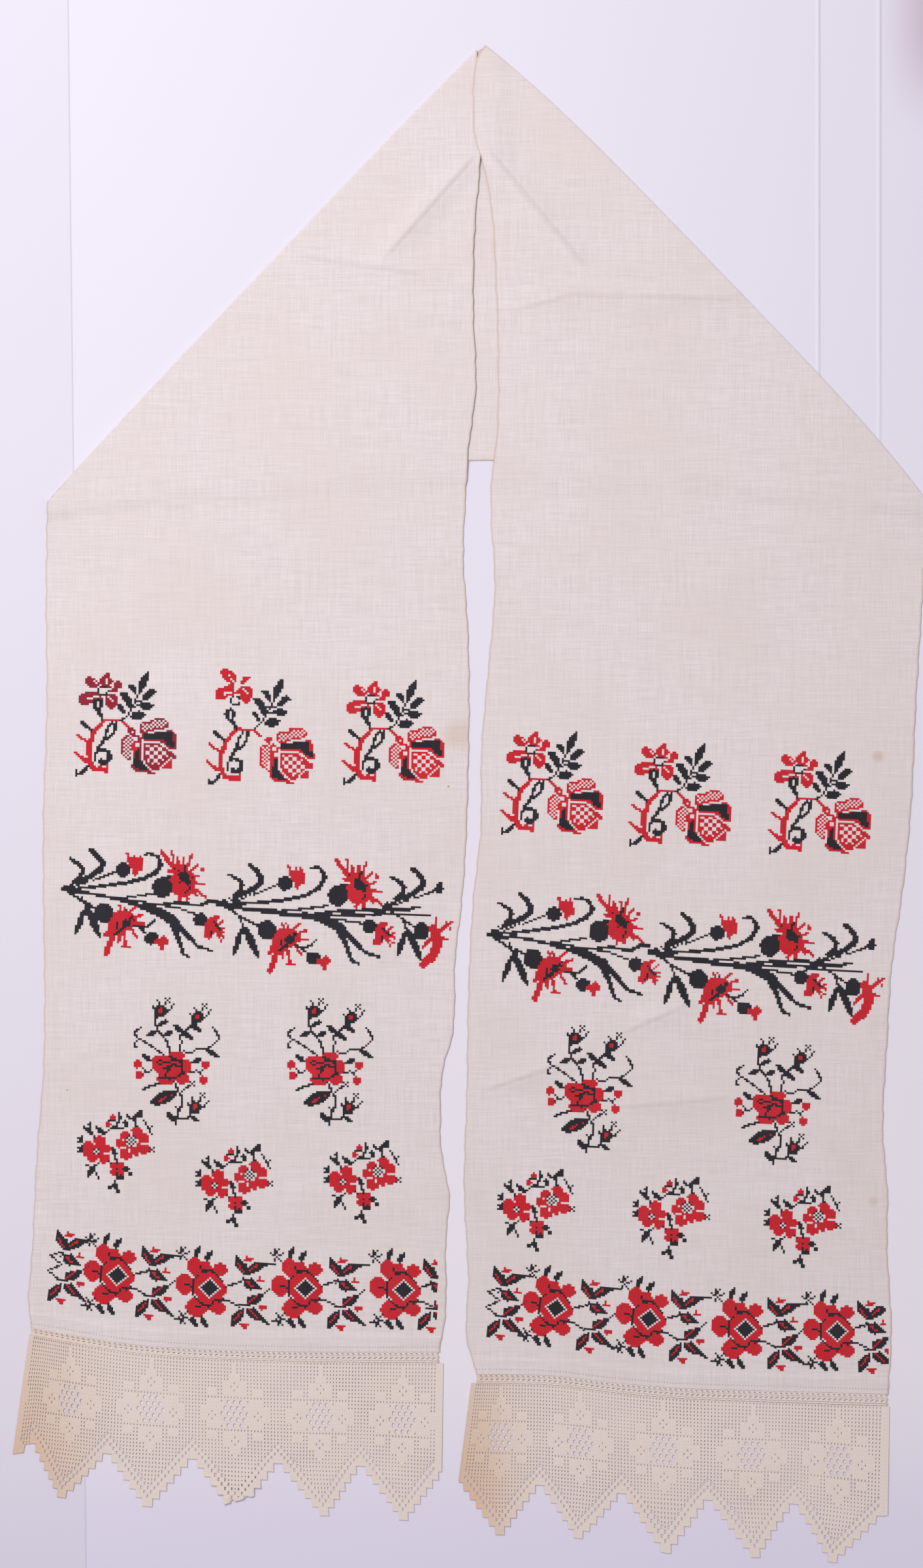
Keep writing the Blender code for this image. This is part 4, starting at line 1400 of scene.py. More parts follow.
def linen_finish():
    """Hand-woven linen: uneven threads both ways, slubs, a few stains, a stitched hem with painted shade in
    its holes, and painted shade along the creases.
    """
    paint = Paint("linen_cloth", 0.92, sheen=0.15)
    across, along = paint.unrolled()
    place = paint.place()
    x, y = paint.parts(place)
    warp = paint.streaks(place, *THREAD_WAVES, 2.0)
    weft = paint.streaks(place, *THREAD_WAVES[::-1], 2.0)
    slubs = paint.streaks(place, *SLUB_WAVES[::-1], 1.0)
    bars = paint.streaks(place, *BAR_WAVES, 1.0)
    mottle = paint.noise(place, 9.0, 3.0)
    shade = 0.34 * warp + 0.34 * weft + 0.18 * slubs + 0.14 * bars
    base = paint.mix(paint.ramp(shade, 0.3, 0.7), colour(220, 207, 207), colour(240, 230, 231))
    base = paint.mix(0.5 * paint.ramp(mottle, 0.35, 0.75), base, colour(226, 212, 207))
    from_edge = paint.least(across, STRIP_WIDTH * MM - across)
    worn = 0.55 * (1 - paint.ramp(from_edge, 0.0, 0.0022))
    base = paint.mix(worn, base, colour(196, 172, 148))
    from_hem = paint.least(along, STRIP_LENGTH * MM - along)
    seam = paint.ramp(0.0011 - abs(from_hem - HEM_STITCH * MM), 0.0, 0.0007)
    holes = seam * paint.ramp(paint.sine(across * HOLE_BEAT), 0.5, 0.9)
    # Painted shade in the holes of the hem stitching: the holes are only darkened and dented, not cut.
    base = paint.mix(0.5 * holes, base, colour(158, 138, 126))
    marks = crease_ridges_and_shade(paint, x, y)
    # Painted shade along the sharp middle of each crease, stronger on the taller creases.
    base = paint.mix(0.2 * marks, base, colour(198, 180, 178))
    for stain_x, stain_y, reach, strength in STAINS:
        away = ((x - stain_x * MM) ** 2 + (y - stain_y * MM) ** 2) ** 0.5
        faded = 1 - paint.ramp(away, 0.2 * reach * MM, reach * MM)
        base = paint.mix(strength * faded, base, colour(196, 162, 116))
    paint.set("Base Color", base)
    threads = paint.sine(across * THREAD_BEAT) + paint.sine(along * THREAD_BEAT)
    height = 0.5 + 0.16 * threads * warp + 0.3 * slubs + 0.3 * bars + 0.3 * weft - 0.8 * holes
    paint.bump(height + CREASE_SHARPNESS * marks, 0.00022, 0.7)
    return paint.material


def crease_ridges_and_shade(paint, x, y):
    """A sharp ridge along the middle of each crease, from 0 to 1, used for the bump and for painted shade.
    """
    tallest = max(rise for *_, rise, _ in CREASES)
    marks = 0.0
    for x0, y0, x1, y1, rise, _ in CREASES:
        length = math.hypot(x1 - x0, y1 - y0)
        right, up = (x1 - x0) / length, (y1 - y0) / length
        aside = abs((x - x0 * MM) * up - (y - y0 * MM) * right)
        along = (x - x0 * MM) * right + (y - y0 * MM) * up
        begun = paint.ramp(along, -12 * MM, 10 * MM)
        ended = paint.ramp(along, (length - 16) * MM, (length + 12) * MM)
        ridge = 1 - paint.ramp(aside, 0.0, CREASE_RIDGE * MM)
        marks = (rise / tallest) * ridge * (begun * (1 - ended)) + marks
    return marks


def thread_finish(name, lit_colour, dark, dusty):
    """Cotton embroidery thread, with painted light on the ridges of its stitches and painted shade at their
    sides and between their legs.
    """
    paint = Paint(name, 0.78, sheen=0.2)
    rise = paint.node("ShaderNodeAttribute", {"attribute_name": "rise"}, {}, output=2)
    place = paint.place()
    fleck = paint.noise(place, 900.0, 1.0)
    fade = paint.noise(place, 22.0, 2.0)
    # Painted light and shade: the lit colour on the ridges of the legs, the dark colour as painted shade at
    # their sides and on the ground between them.
    base = paint.mix(rise, dark, lit_colour)
    base = paint.mix(0.28 * paint.ramp(fade, 0.4, 0.75), base, dusty)
    base = paint.mix(0.35 * paint.ramp(fleck, 0.55, 0.8), base, dark)
    paint.set("Base Color", base)
    paint.bump(fleck, 0.0001, 0.5)
    return paint.material


def crochet_finish(name, stain_x, stain_from, stain_to):
    """Cream cotton worked in posts and rows, with painted shade between the posts, browned with age towards
    one side.
    """
    paint = Paint(name, 0.88, sheen=0.12)
    column, row = paint.unrolled()
    place = paint.place()
    x, y = paint.parts(place)
    row_wave = paint.sine(row * (2 * math.pi))
    posts = 0.5 + 0.5 * paint.sine(column * (6 * math.pi) + 0.9 * row_wave)
    chains = paint.ramp(row_wave, 0.6, 1.0)
    mottle = paint.noise(place, 16.0, 3.0)
    fibre = paint.noise(place, 1500.0, 2.0)
    # Painted shade between the posts of yarn, and painted light on their ridges.
    base = paint.mix(posts, colour(232, 214, 204), colour(249, 237, 231))
    base = paint.mix(0.4 * paint.ramp(mottle, 0.3, 0.8), base, colour(240, 224, 210))
    side = paint.ramp(abs(x - stain_x) * -1.0, -stain_to, -stain_from)
    low = paint.ramp(y * -1.0, 0.5, 0.66)
    stain = side * (0.35 + 0.65 * low) * (0.55 + 0.6 * mottle)
    base = paint.mix(stain, base, colour(228, 192, 162))
    paint.set("Base Color", base)
    paint.bump(0.5 * posts + 0.25 * chains + 0.2 * fibre, 0.00035, 0.8)
    return paint.material


# Marks on the sheet that the towel lies on, in metres
SHEET_FOLDS_X = (0.33, 0.388)
SHEET_EDGE_X = (-0.3745, -0.3725)
SHEET_EDGE_SLOPE = 0.0115


def sheet_finish():
    """The pale sheet that the towel lies on, with painted light and shade from top to bottom."""
    paint = Paint("pale_floor", 0.95)
    place = paint.place()
    x, y = paint.parts(place)
    cloud = paint.noise(place, 2.2, 2.0)
    base = paint.mix(cloud, colour(231, 226, 240), colour(235, 230, 243))
    # Painted light: the sheet is made lighter from the top towards the bottom.
    base = paint.mix(1 - paint.ramp(y, -0.8, 0.5), base, colour(244, 238, 246))
    # Painted shade: darker again along the lowest part of the sheet.
    base = paint.mix(1 - paint.ramp(y, -0.74, -0.5), base, colour(230, 223, 243))
    beside = 1 - paint.ramp(x + SHEET_EDGE_SLOPE * y, *SHEET_EDGE_X)
    base = paint.mix(0.5 * beside, base, colour(224, 218, 232))
    corner = paint.ramp(x, 0.38, 0.45) * paint.ramp(y, 0.62, 0.74)
    base = paint.mix(0.8 * corner, base, colour(196, 172, 190))
    paint.set("Base Color", base)
    folds = sum(1 - paint.ramp(abs(x - fold), 0.0, 0.003) for fold in SHEET_FOLDS_X)
    paint.bump(folds * paint.ramp(y, 0.1, 0.5) + beside + 0.5 * cloud, 0.0012, 0.6)
    return paint.material


# The linen strip


def build_linen(material):
    left_tail, right_tail = tail_rows(LEFT), tail_rows(RIGHT)
    left_fold, right_fold = fold_rows(LEFT), fold_rows(RIGHT)
    behind = back_rows(left_fold[0][-1], right_fold[0][-1])
    over, under = (
        np.concatenate((tail, fold, back, last_fold[::-1], last_tail[::-1]))
        for tail, fold, back, last_fold, last_tail in zip(
            left_tail, left_fold, behind, right_fold, right_tail
        )
    )
    rows, columns = over.shape[:2]
    middle = (over + under) / 2
    steps = np.linalg.norm(np.diff(middle, axis=0), axis=2).mean(axis=1)
    along = np.concatenate(([0], np.cumsum(steps)))
    along *= STRIP_LENGTH / along[-1]
    across = np.linspace(0, STRIP_WIDTH, columns)
    uv = np.stack(np.broadcast_arrays(across[None, :], along[:, None]), -1).reshape(-1, 2) * MM
    faces = close_slab(rows * columns, [grid_faces(rows, columns)])
    points = np.concatenate((over.reshape(-1, 3), under.reshape(-1, 3)))
    piece = make_piece("linen_strip", points, faces, [material], uv=np.concatenate((uv, uv)))
    piece.data.set_sharp_from_angle(angle=math.radians(50))
    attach(piece, "root")
    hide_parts("cloth")
    return piece


# Crochet

REPEAT = 26               # cells from notch to notch
NOTCH_ROW = 28            # rows of cells above the notches
POINT_ROWS = 12           # and from there to the tips
FLOWER_ROW = 15
BANDS = (11, 9, 7, 5, 3, 1)   # cells on each side of the middle, in each step of a point
EDGE_CELLS = 2            # solid cells along each side
NONE, SOLID, SMALL, LARGE, NET = range(5)
NET_PITCH = (1.92, 1.6)
NET_ROWS = (3, 4, 5, 4, 3)    # holes in each row of a net
NET_HOLE = (0.54, 0.66)   # half width and half height of a hole, in cells
NET_MARGIN = 0.02
HOLES = {SMALL: (0.17, 0.22), LARGE: (0.27, 0.36)}    # half width and half height, in cells
HEM_POINTS = 200
LACE_LOW = 0.06
LACE_HIGH = 0.72
LACE_RIM = 0.14           # by which the rim of a hole is lower
LACE_WAVE = 0.45          # unevenness of the lace as it lies

LEFT_LACE = {
    "end": LEFT,
    "heading": LEFT_HEADING,
    "points": LEFT_POINTS,
    "last_notch": LEFT_LAST_NOTCH,
    "flowers": LEFT_FLOWERS_X,
    "first": -6,
    "last": 129,
    "top": (-419.0, -26.0),
    "side_notch": ((-433.7, -609.2), (-27.6, -633.8)),
}
RIGHT_LACE = {
    "end": RIGHT,
    "heading": RIGHT_HEADING,
    "points": RIGHT_POINTS,
    "last_notch": RIGHT_LAST_NOTCH,
    "flowers": RIGHT_FLOWERS_X,
    "first": 0,
    "last": 131,
    "top": (0.5, 397.5),
    "side_notch": ((-11.6, -643.9), (395.9, -675.0)),
}


def hem_line(end, drop_outer, drop_inner):
    """The lower edge of an end from left to right, moved down by a length at each of its ends."""
    outer_y, inner_y = np.array([end["outer"][0][0]]), np.array([end["inner"][0][0]])
    rows, _ = flat_rows(end, outer_y, inner_y, np.ones(1), np.zeros(1), HEM_POINTS)
    line = rows[0]
    line[:, 1] -= np.linspace(drop_outer, drop_inner, HEM_POINTS + 1)
    return line if line[0, 0] < line[-1, 0] else line[::-1]


def lace_place(lace, column, row):
    """Where a place on the chart of the lace lies, as x and y."""
    start, end = lace["first"] - 0.5, lace["last"] + 0.5
    middles = [REPEAT * (number + 0.5) for number in range(5)]
    top_x = np.interp(column, [start, *middles, end], [lace["top"][0], *lace["flowers"], lace["top"][1]])
    line = hem_line(lace["end"], *(height + SEAM_GAP for height in lace["heading"]))
    top_y = np.interp(top_x, line[:, 0], line[:, 1])
    notches = [*[point[:2] for point in lace["points"]], lace["last_notch"]]
    places = [start, *[REPEAT * number for number in range(6)], end]
    known = np.array([lace["side_notch"][0], *notches, lace["side_notch"][1]])
    order = np.argsort(places, kind="stable")
    places, known = np.array(places)[order], known[order]
    notch_x = np.interp(column, places, known[:, 0])
    notch_y = np.interp(column, places, known[:, 1])
    tips = np.array([
        np.array(point[2:]) - (np.array(point[:2]) + np.array(after)) / 2
        for point, after in zip(lace["points"], notches[1:])
    ])
    down_x = np.interp(column, middles, tips[:, 0])
    down_y = np.interp(column, middles, tips[:, 1])
    above = np.clip(row / NOTCH_ROW, 0, 1)
    below = np.clip((row - NOTCH_ROW) / POINT_ROWS, 0, None)
    x = top_x + (notch_x - top_x) * above + down_x * below
    y = top_y + (notch_y - top_y) * above + down_y * below
    return x, y


def lace_chart(lace):
    """What each cell of the lace is. Columns and rows are counted from the upper left."""
    column, row = np.meshgrid(
        np.arange(lace["first"], lace["last"] + 1), np.arange(NOTCH_ROW + POINT_ROWS) + 0.5
    )
    from_flower = (column % REPEAT) - REPEAT // 2
    aside, down = np.abs(from_flower), row - FLOWER_ROW
    reach = np.abs(down)
    cells = np.full(column.shape, SMALL)
    petal = np.interp(reach, (4.4, 5, 8.5, 9.5, 10.5, 11.5, 13.5), (-1, 3, 3, 1, 1, 0, 0))
    cells[(aside <= petal) & (reach > 4) & (reach < np.where(down < 0, 14, 12))] = SOLID
    cells[(aside >= 5) & (aside <= 8) & (reach < 4)] = SOLID
    cells[(aside >= 9) & (aside <= 10) & (reach < 2)] = SOLID
    cells[(aside >= 6) & (aside <= 8) & (reach > 5) & (reach < 7)] = SOLID
    cells[(aside == 0) & np.isin(reach, (6.5, 8.5))] = SMALL
    cells[(aside == 1) & (reach == 7.5)] = SMALL
    cells[(aside == 7) & np.isin(down, (-0.5, 1.5))] = SMALL
    cells[np.isin(aside, (6, 8)) & (down == 0.5)] = SMALL
    cells[(aside <= 4) & (reach < 3)] = NET
    cells[(aside <= 3) & (reach < 4)] = NET
    depth = REPEAT / 2 - aside + NOTCH_ROW - row
    staggered = (column + np.floor(row)) % 2 == 0
    cells[depth < 6] = np.where(staggered, LARGE, SOLID)[depth < 6]
    cells[depth < 2.6] = SOLID
    band = np.clip(np.floor((row - NOTCH_ROW) * len(BANDS) / POINT_ROWS), 0, len(BANDS) - 1).astype(int)
    cells[(row > NOTCH_ROW) & (aside > np.array(BANDS)[band])] = NONE
    cells[(column < 0) & (row > NOTCH_ROW)] = NONE
    cells[(column > REPEAT * 5) & (row > NOTCH_ROW)] = NONE
    cells[(column < 0) & (cells == NET)] = SOLID
    sides = (column < lace["first"] + EDGE_CELLS) | (column > lace["last"] - EDGE_CELLS)
    cells[sides & (cells != NONE)] = SOLID
    if lace["first"] < 0:
        cells[(column < 0) & (column > lace["first"] + EDGE_CELLS) & (cells == SOLID)] = SMALL
        lobe = (column < lace["first"] + 4) & (row > NOTCH_ROW) & (row < NOTCH_ROW + 2)
        cells[lobe] = SOLID
    return cells


def hole_corners(cells, kind):
    """Columns and rows of the corners of the holes of one kind, four to a cell."""
    rows, columns = np.nonzero(cells == kind)
    openness = 0.72 + 0.56 * ripple(columns * 9.0, rows * 14.0)
    corners = np.array(((-1, -1), (1, -1), (1, 1), (-1, 1))) * HOLES[kind]
    hole_u = columns[:, None] + 0.5 + corners[:, 0] * openness[:, None]
    hole_v = rows[:, None] + 0.5 + corners[:, 1] * openness[:, None]
    return rows, columns, hole_u, hole_v


def net_triangles(cells, first):
    """Triangles of the open net at the middle of each flower, with its holes cut out."""
    rows, columns = np.nonzero(cells == NET)
    corner = np.array(((0, 0), (1, 0), (1, 1), (0, 1)))
    edges = {}
    for row, column in zip(rows, columns):
        loop = [(column + u, row + v) for u, v in corner]
        for start, end in zip(loop, loop[1:] + loop[:1]):
            edges[frozenset((start, end))] = edges.get(frozenset((start, end)), 0) + 1
    rim = [tuple(edge) for edge, uses in edges.items() if uses == 1]
    spots = sorted({spot for edge in rim for spot in edge})
    number = {spot: place for place, spot in enumerate(spots)}
    lines = [(number[start], number[end]) for start, end in rim]
    places = [(float(u), float(v)) for u, v in spots]
    angles = np.arange(8) * math.pi / 4 + math.pi / 8
    ovals = []
    for flower in range(5):
        middle_u = REPEAT * flower + REPEAT / 2 + 0.5 - first
        for line, count in enumerate(NET_ROWS):
            v = FLOWER_ROW + (line - 2) * NET_PITCH[1]
            for place in range(count):
                u = middle_u + (place - (count - 1) / 2) * NET_PITCH[0]
                ovals.append((u, v))
                start = len(places)
                places += [
                    (u + NET_HOLE[0] * math.cos(angle), v + NET_HOLE[1] * math.sin(angle))
                    for angle in angles
                ]
                lines += [(start + n, start + (n + 1) % 8) for n in range(8)]
    points, _, triangles, *_ = delaunay_2d_cdt([Vector(place) for place in places], lines, [], 0, 1e-5)
    points = np.array([tuple(point) for point in points])
    triangles = np.array([list(triangle) for triangle in triangles if len(triangle) == 3])
    middles = points[triangles].mean(axis=1)
    inside = cells[
        np.clip(middles[:, 1].astype(int), 0, cells.shape[0] - 1),
        np.clip(middles[:, 0].astype(int), 0, cells.shape[1] - 1),
    ] == NET
    for oval in ovals:
        away = (middles - oval) / (np.array(NET_HOLE) - NET_MARGIN)
        inside &= (away ** 2).sum(axis=1) > 1
    return points, triangles[inside]


def lace_flat(lace):
    """Points of the lace on its chart, faces between them, and how far each point is raised."""
    cells = lace_chart(lace)
    rows, columns = cells.shape
    grid_u, grid_v = np.meshgrid(np.arange(columns + 1), np.arange(rows + 1))
    u, v = [grid_u.ravel().astype(float)], [grid_v.ravel().astype(float)]
    raised = [np.ones(grid_u.size)]
    corner = np.array(((0, 0), (1, 0), (1, 1), (0, 1)))
    width = columns + 1
    faces = []
    solid_rows, solid_columns = np.nonzero(cells == SOLID)
    block = (solid_rows[:, None] + corner[:, 1]) * width + solid_columns[:, None] + corner[:, 0]
    faces.append(block[:, ::-1])
    count = grid_u.size
    for kind in (SMALL, LARGE):
        hole_rows, hole_columns, hole_u, hole_v = hole_corners(cells, kind)
        outer = (hole_rows[:, None] + corner[:, 1]) * width + hole_columns[:, None] + corner[:, 0]
        inner = count + np.arange(len(hole_rows) * 4).reshape(-1, 4)
        for side in range(4):
            after = (side + 1) % 4
            quad = np.stack((outer[:, side], outer[:, after], inner[:, after], inner[:, side]), -1)
            faces.append(quad[:, ::-1])
        u.append(hole_u.ravel())
        v.append(hole_v.ravel())
        raised.append(np.zeros(hole_u.size))
        count += hole_u.size
    net_points, net_faces = net_triangles(cells, lace["first"])
    on_grid = np.all(np.abs(net_points - np.round(net_points)) < 1e-4, axis=1)
    number = np.where(
        on_grid,
        np.round(net_points[:, 1]).astype(int) * width + np.round(net_points[:, 0]).astype(int),
        count + np.cumsum(~on_grid) - 1,
    )
    faces.append(number[net_faces][:, ::-1])
    u.append(net_points[~on_grid, 0])
    v.append(net_points[~on_grid, 1])
    raised.append(np.full((~on_grid).sum(), 0.4))
    u, v, raised = (np.concatenate(part) for part in (u, v, raised))
    used = np.unique(np.concatenate([part.ravel() for part in faces]))
    renumber = np.zeros(len(u), int)
    renumber[used] = np.arange(len(used))
    return u[used], v[used], raised[used], [renumber[part] for part in faces]


TURN_GAP = 0.2            # between the lace and what is turned under it


def turn_under(points):
    """Turn what lies past the crease at the third point under the lace, and lift the lace over it."""
    start, end = np.array(TURNED_TIP_START), np.array(TURNED_TIP_END)
    run = (end - start) / np.linalg.norm(end - start)
    out = np.array((run[1], -run[0]))
    along = (points[:, :2] - start) @ run
    past = (points[:, :2] - start) @ out
    near = (along > -12) & (along < np.linalg.norm(end - start) + 12)
    snap = near & (np.abs(past) < 1.6)
    points[snap, :2] -= past[snap, None] * out
    past[snap] = 0
    hidden = near & (past > 0)
    ceiling = LACE_HIGH + TURN_GAP
    lifted = near & ~hidden
    points[lifted, 2] += ceiling * ease(past[lifted], -34.0, -9.0)
    points[hidden, :2] -= 2 * past[hidden, None] * out
    points[hidden, 2] = ceiling - points[hidden, 2] + 0.02
    return points


def build_lace(name, lace, material, node, turned=False):
    u, v, raised, faces = lace_flat(lace)
    x, y = lace_place(lace, u + lace["first"] - 0.5, v)
    lift = LACE_WAVE * ripple(x * 1.3, y * 1.3)
    high = LACE_HIGH - LACE_RIM + LACE_RIM * raised + lift
    low = LACE_LOW + lift
    points = np.concatenate((np.stack((x, y, high), -1), np.stack((x, y, low), -1)))
    if turned:
        points = turn_under(points)
    uv = np.stack((u, -v), -1)
    closed = close_slab(len(u), faces)
    piece = make_piece(name, points, closed, [material], uv=np.concatenate((uv, uv)))
    piece.data.set_sharp_from_angle(angle=math.radians(55))
    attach(piece, "root")
    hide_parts(node)
    return piece


# Lattice headings

ZIGZAG = 5.0              # from one crossing of the lattice to the next
CORD = 1.45


def build_heading(name, lace, material, node):
    """Two zigzag rows of doubled thread between three cords, and loops down to a fourth one."""
    top = hem_line(lace["end"], SEAM_GAP, SEAM_GAP)
    bottom = hem_line(lace["end"], *lace["heading"])
    length = np.linalg.norm(np.diff(top, axis=0), axis=1).sum()
    share_along = np.linspace(0, 1, len(top))

    def spot(share, depth, z):
        """A place on the heading, by shares of its length and height."""
        share, depth = np.asarray(share, float), np.asarray(depth, float)
        high = np.stack([np.interp(share, share_along, top[:, axis]) for axis in (0, 1)], -1)
        deep = np.stack([np.interp(share, share_along, bottom[:, axis]) for axis in (0, 1)], -1)
        place = high + (deep - high) * depth[..., None]
        return np.concatenate((place, np.full(share.shape + (1,), z)), -1)

    points, faces, marks = [], [], []
    count = 0

    def add(path, width, height):
        nonlocal count
        ring, quads = tube(path, width, height)
        points.append(ring)
        faces.append(quads + count)
        reach = np.repeat(np.linspace(0, len(path) / 3, len(path)), CORD_SIDES)
        around = np.tile(np.linspace(0, 1, CORD_SIDES, endpoint=False), len(path))
        marks.append(np.stack((around, reach), -1))
        count += len(ring)

    steps = int(length / ZIGZAG)
    edge = 0.6 / length
    # Columns: depth of the cord as a share of the height, width
    rails = ((0.06, 1.5), (0.44, 1.4), (0.74, 1.5), (0.93, 1.5))
    for depth, width in rails:
        share = np.linspace(edge, 1 - edge, 2 * steps + 1)
        wobble = 0.02 * np.sin(np.arange(len(share)) * 2.4)
        add(spot(share, depth + wobble, 0.62), width, 0.8)
    for step in range(steps):
        near, far = (step + 0.08) / steps, (step + 0.92) / steps
        middle = (near + far) / 2
        for shift in (0.0, 0.24):
            start, finish = near + shift / steps, far - (0.24 - shift) / steps
            bend = np.linspace(0, 1, 4)
            add(spot(start + (finish - start) * bend, 0.1 + 0.32 * bend, 0.6), CORD, 0.75)
            add(spot(finish - (finish - start) * bend, 0.46 + 0.27 * bend, 0.56), CORD * 0.9, 0.7)
        for part in (0.1, 0.6):
            share = (step + part) / steps
            loop = np.array((0.0, 0.12, 0.28, 0.4))
            add(spot(share + loop / steps, np.array((0.76, 0.93, 0.93, 0.76)), 0.45), 0.7, 0.6)
    piece = make_piece(
        name, np.concatenate(points), [np.concatenate(faces)], [material], uv=np.concatenate(marks)
    )
    close_ends(piece)
    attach(piece, "root")
    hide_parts(node)
    return piece


def close_ends(piece):
    """Fill the open end of every cord, and turn all faces outwards."""
    shape = bmesh.new()
    shape.from_mesh(piece.data)
    rims = [edge for edge in shape.edges if edge.is_boundary]
    bmesh.ops.holes_fill(shape, edges=rims, sides=CORD_SIDES)
    bmesh.ops.recalc_face_normals(shape, faces=shape.faces)
    for face in shape.faces:
        face.smooth = True
    shape.to_mesh(piece.data)
    shape.free()


# Light, floor and camera

FLOOR_HALF = 3.0
FLOOR_Z = -0.0004
# Columns: name, place, what it points at, size, power, tint
LIGHTS = (
    ("key", (-1.3, 1.5, 2.4), (-0.1, 0.1, 0.0), 1.2, 61.0, (1.0, 0.985, 0.98)),
    ("fill", (0.4, -0.9, 3.0), (0.0, -0.1, 0.0), 2.6, 13.0, (1.0, 0.98, 0.99)),
)
ROOM_TINT = (0.98, 0.96, 1.0, 1.0)
ROOM_STRENGTH = 0.36
EYE = (-0.00868, 0.0189, 2.2)
LENS = 53.2
SENSOR = 36.0


def build_stage():
    corners = [
        (FLOOR_HALF * right, FLOOR_HALF * up, FLOOR_Z)
        for right, up in ((-1, -1), (1, -1), (1, 1), (-1, 1))
    ]
    mesh = bpy.data.meshes.new("pale_floor")
    mesh.from_pydata(corners, [], [(0, 1, 2, 3)])
    mesh.materials.append(sheet_finish())
    floor = bpy.data.objects.new("pale_floor", mesh)
    bpy.context.collection.objects.link(floor)


def build_light():
    for name, place, target, size, power, tint in LIGHTS:
        lamp = bpy.data.lights.new(name, "AREA")
        lamp.shape = "DISK"
        lamp.size = size
        lamp.energy = power
        lamp.color = tint
        light = bpy.data.objects.new(name, lamp)
        light.location = place
        light.rotation_mode = "QUATERNION"
        light.rotation_quaternion = (Vector(target) - Vector(place)).to_track_quat("-Z", "Y")
        bpy.context.collection.objects.link(light)
    world = bpy.data.worlds.new("soft_room")
    world.use_nodes = True
    background = world.node_tree.nodes["Background"]
    background.inputs["Color"].default_value = ROOM_TINT
    background.inputs["Strength"].default_value = ROOM_STRENGTH
    bpy.context.scene.world = world
    bpy.context.scene.view_settings.view_transform = "Standard"


def build_camera():
    """Straight down, from as high as the photographed width needs."""
    camera = bpy.data.cameras.new("camera")
    camera.sensor_width = SENSOR
    camera.lens = LENS
    camera.clip_end = 20.0
    eye = bpy.data.objects.new("camera", camera)
    eye.location = EYE
    bpy.context.collection.objects.link(eye)
    bpy.context.scene.camera = eye


# Where each motif is


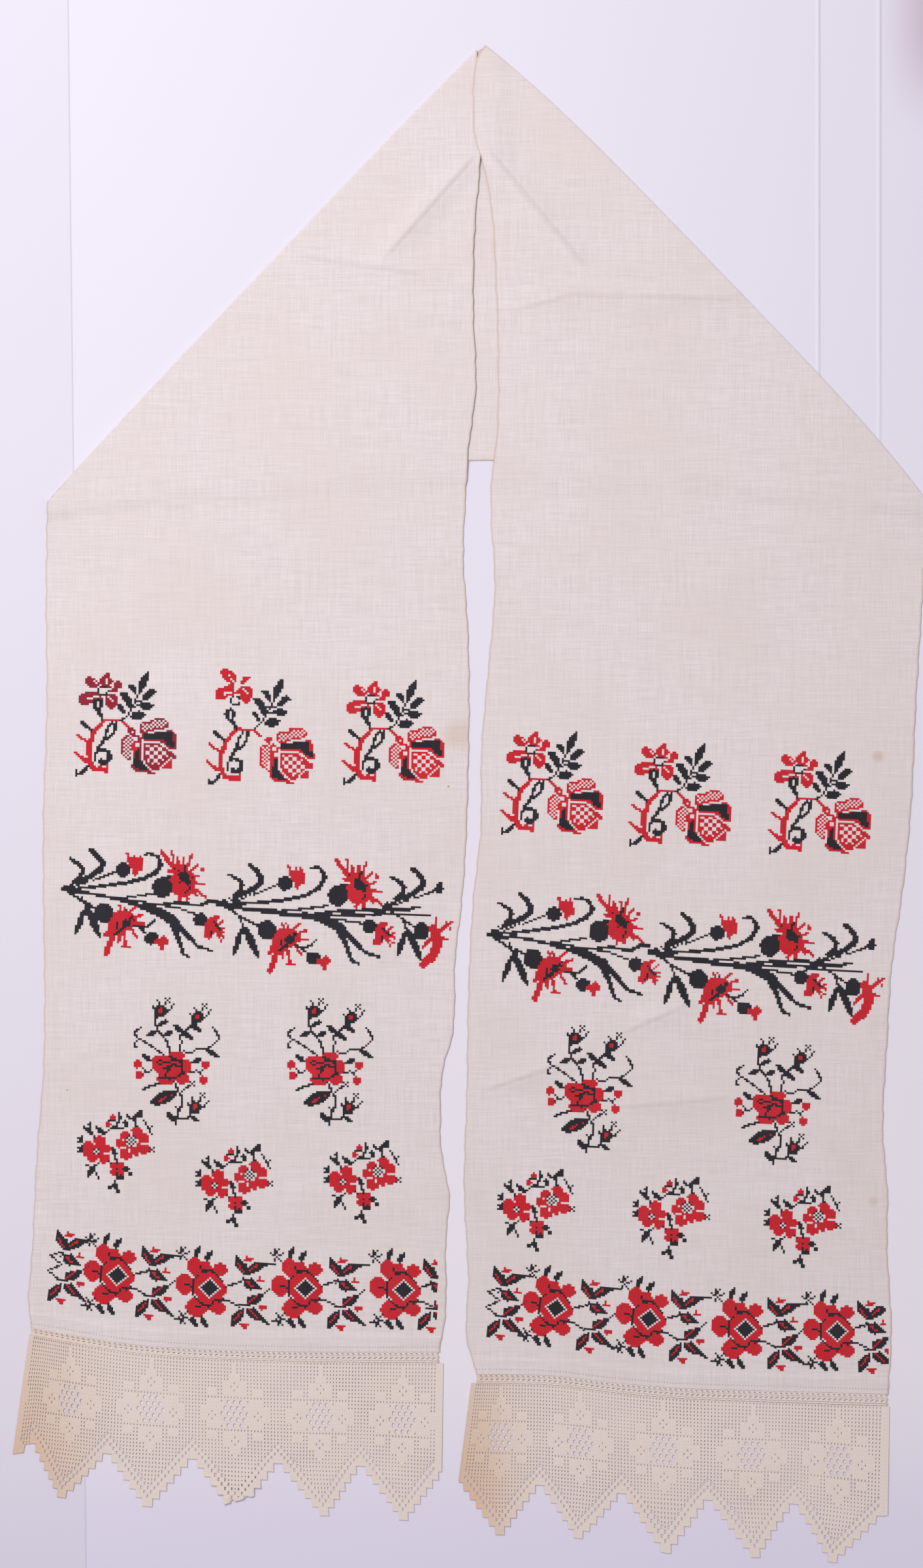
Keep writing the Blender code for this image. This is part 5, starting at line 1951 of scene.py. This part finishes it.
def build_embroidery(threads):
    """All the cross-stitch, one piece for each row of motifs on each end."""
    wine_spray, red_spray, torn_spray = spray_chart(WINE), spray_chart(RED), spray_chart(RED, torn=True)
    left_branch, right_branch, longer_branch = (branch_chart(column) for column in (0, 1, LONGER))
    branch_end = branch_end_chart()
    sprig, posy, rose = rose_sprig_chart(), posy_chart(), border_rose_chart()
    first_leaves, leaves = border_leaves_chart(True), border_leaves_chart(False)
    left_cut, right_cut = border_leaves_chart(False, 5.0), border_leaves_chart(False, 16.5)
    # Columns: motif, x and y of its anchor, turn
    layout = {
        "sprays_left": (LEFT, (
            (wine_spray, -326.7, 75.6, 0.0),
            (torn_spray, -198.9, 66.3, 0.0),
            (red_spray, -72.5, 67.5, 0.0),
        )),
        "sprays_right": (RIGHT, (
            (red_spray, 78.7, 19.2, -1.5),
            (red_spray, 200.3, 8.0, -1.5),
            (red_spray, 332.9, 0.6, -1.5),
        )),
        "branch_left": (LEFT, (
            (left_branch, -387.8, -79.7, 0.0),
            (longer_branch, -240.9, -92.7, 2.0),
            (branch_end, -83.1, -96.9, 0.0),
        )),
        "branch_right": (RIGHT, (
            (right_branch, 16.1, -123.0, 0.0),
            (longer_branch, 169.0, -138.6, 1.0),
            (branch_end, 327.0, -149.6, -1.0),
        )),
        "rose_sprigs_left": (LEFT, (
            (sprig, -283.8, -250.8, 0.0),
            (sprig, -138.1, -251.4, 0.0),
        )),
        "rose_sprigs_right": (RIGHT, (
            (sprig, 107.6, -277.2, -2.0),
            (sprig, 286.1, -288.4, -3.0),
        )),
        "posies_left": (LEFT, (
            (posy, -355.2, -329.9, 0.0),
            (posy, -243.0, -362.2, 0.0),
            (posy, -121.2, -358.7, 0.0),
        )),
        "posies_right": (RIGHT, (
            (posy, 43.5, -384.9, -1.5),
            (posy, 171.8, -391.7, -2.5),
            (posy, 296.4, -400.0, -2.5),
        )),
        "rose_border_left": (LEFT, (
            (first_leaves, -386.8, -439.1, -4.0),
            (rose, -335.3, -447.5, 0.0),
            (leaves, -304.6, -454.0, -2.0),
            (rose, -247.8, -459.3, 2.0),
            (leaves, -214.8, -462.6, 0.0),
            (rose, -156.9, -459.7, 5.0),
            (leaves, -124.5, -464.3, 2.0),
            (rose, -63.7, -461.2, 4.5),
            (left_cut, -37.0, -466.1, -1.0),
        )),
        "rose_border_right": (RIGHT, (
            (first_leaves, 29.0, -473.2, -2.0),
            (rose, 81.0, -478.5, -3.5),
            (leaves, 113.2, -485.6, -1.0),
            (rose, 169.4, -488.7, -2.0),
            (leaves, 199.9, -495.3, 2.0),
            (rose, 260.7, -498.5, 3.5),
            (leaves, 292.3, -502.3, 4.0),
            (rose, 348.0, -500.5, 5.5),
            (right_cut, 378.0, -505.2, 5.0),
        )),
    }
    return [
        stitch_piece(name, end, placings, threads, seed)
        for seed, (name, (end, placings)) in enumerate(layout.items())
    ]


# Columns: name, lit colour of the thread, its colour in painted shade, its faded colour
threads = [
    thread_finish("red_thread", colour(240, 32, 50), colour(172, 14, 30), colour(222, 54, 68)),
    thread_finish("wine_thread", colour(180, 34, 60), colour(122, 18, 36), colour(166, 52, 74)),
    thread_finish("black_thread", colour(42, 40, 50), colour(20, 19, 26), colour(54, 51, 62)),
]
linen = build_linen(linen_finish())
embroidery = build_embroidery(threads)
left_crochet = crochet_finish("crochet_cotton_left", -0.43, 0.0, 0.11)
right_crochet = crochet_finish("crochet_cotton_right", -0.01, 0.0, 0.08)
lace_left = build_lace("crochet_left", LEFT_LACE, left_crochet, "lace_left", turned=True)
lace_right = build_lace("crochet_right", RIGHT_LACE, right_crochet, "lace_right")
heading_left = build_heading("lattice_left", LEFT_LACE, left_crochet, "heading_left")
heading_right = build_heading("lattice_right", RIGHT_LACE, right_crochet, "heading_right")

build_stage()
build_light()
build_camera()
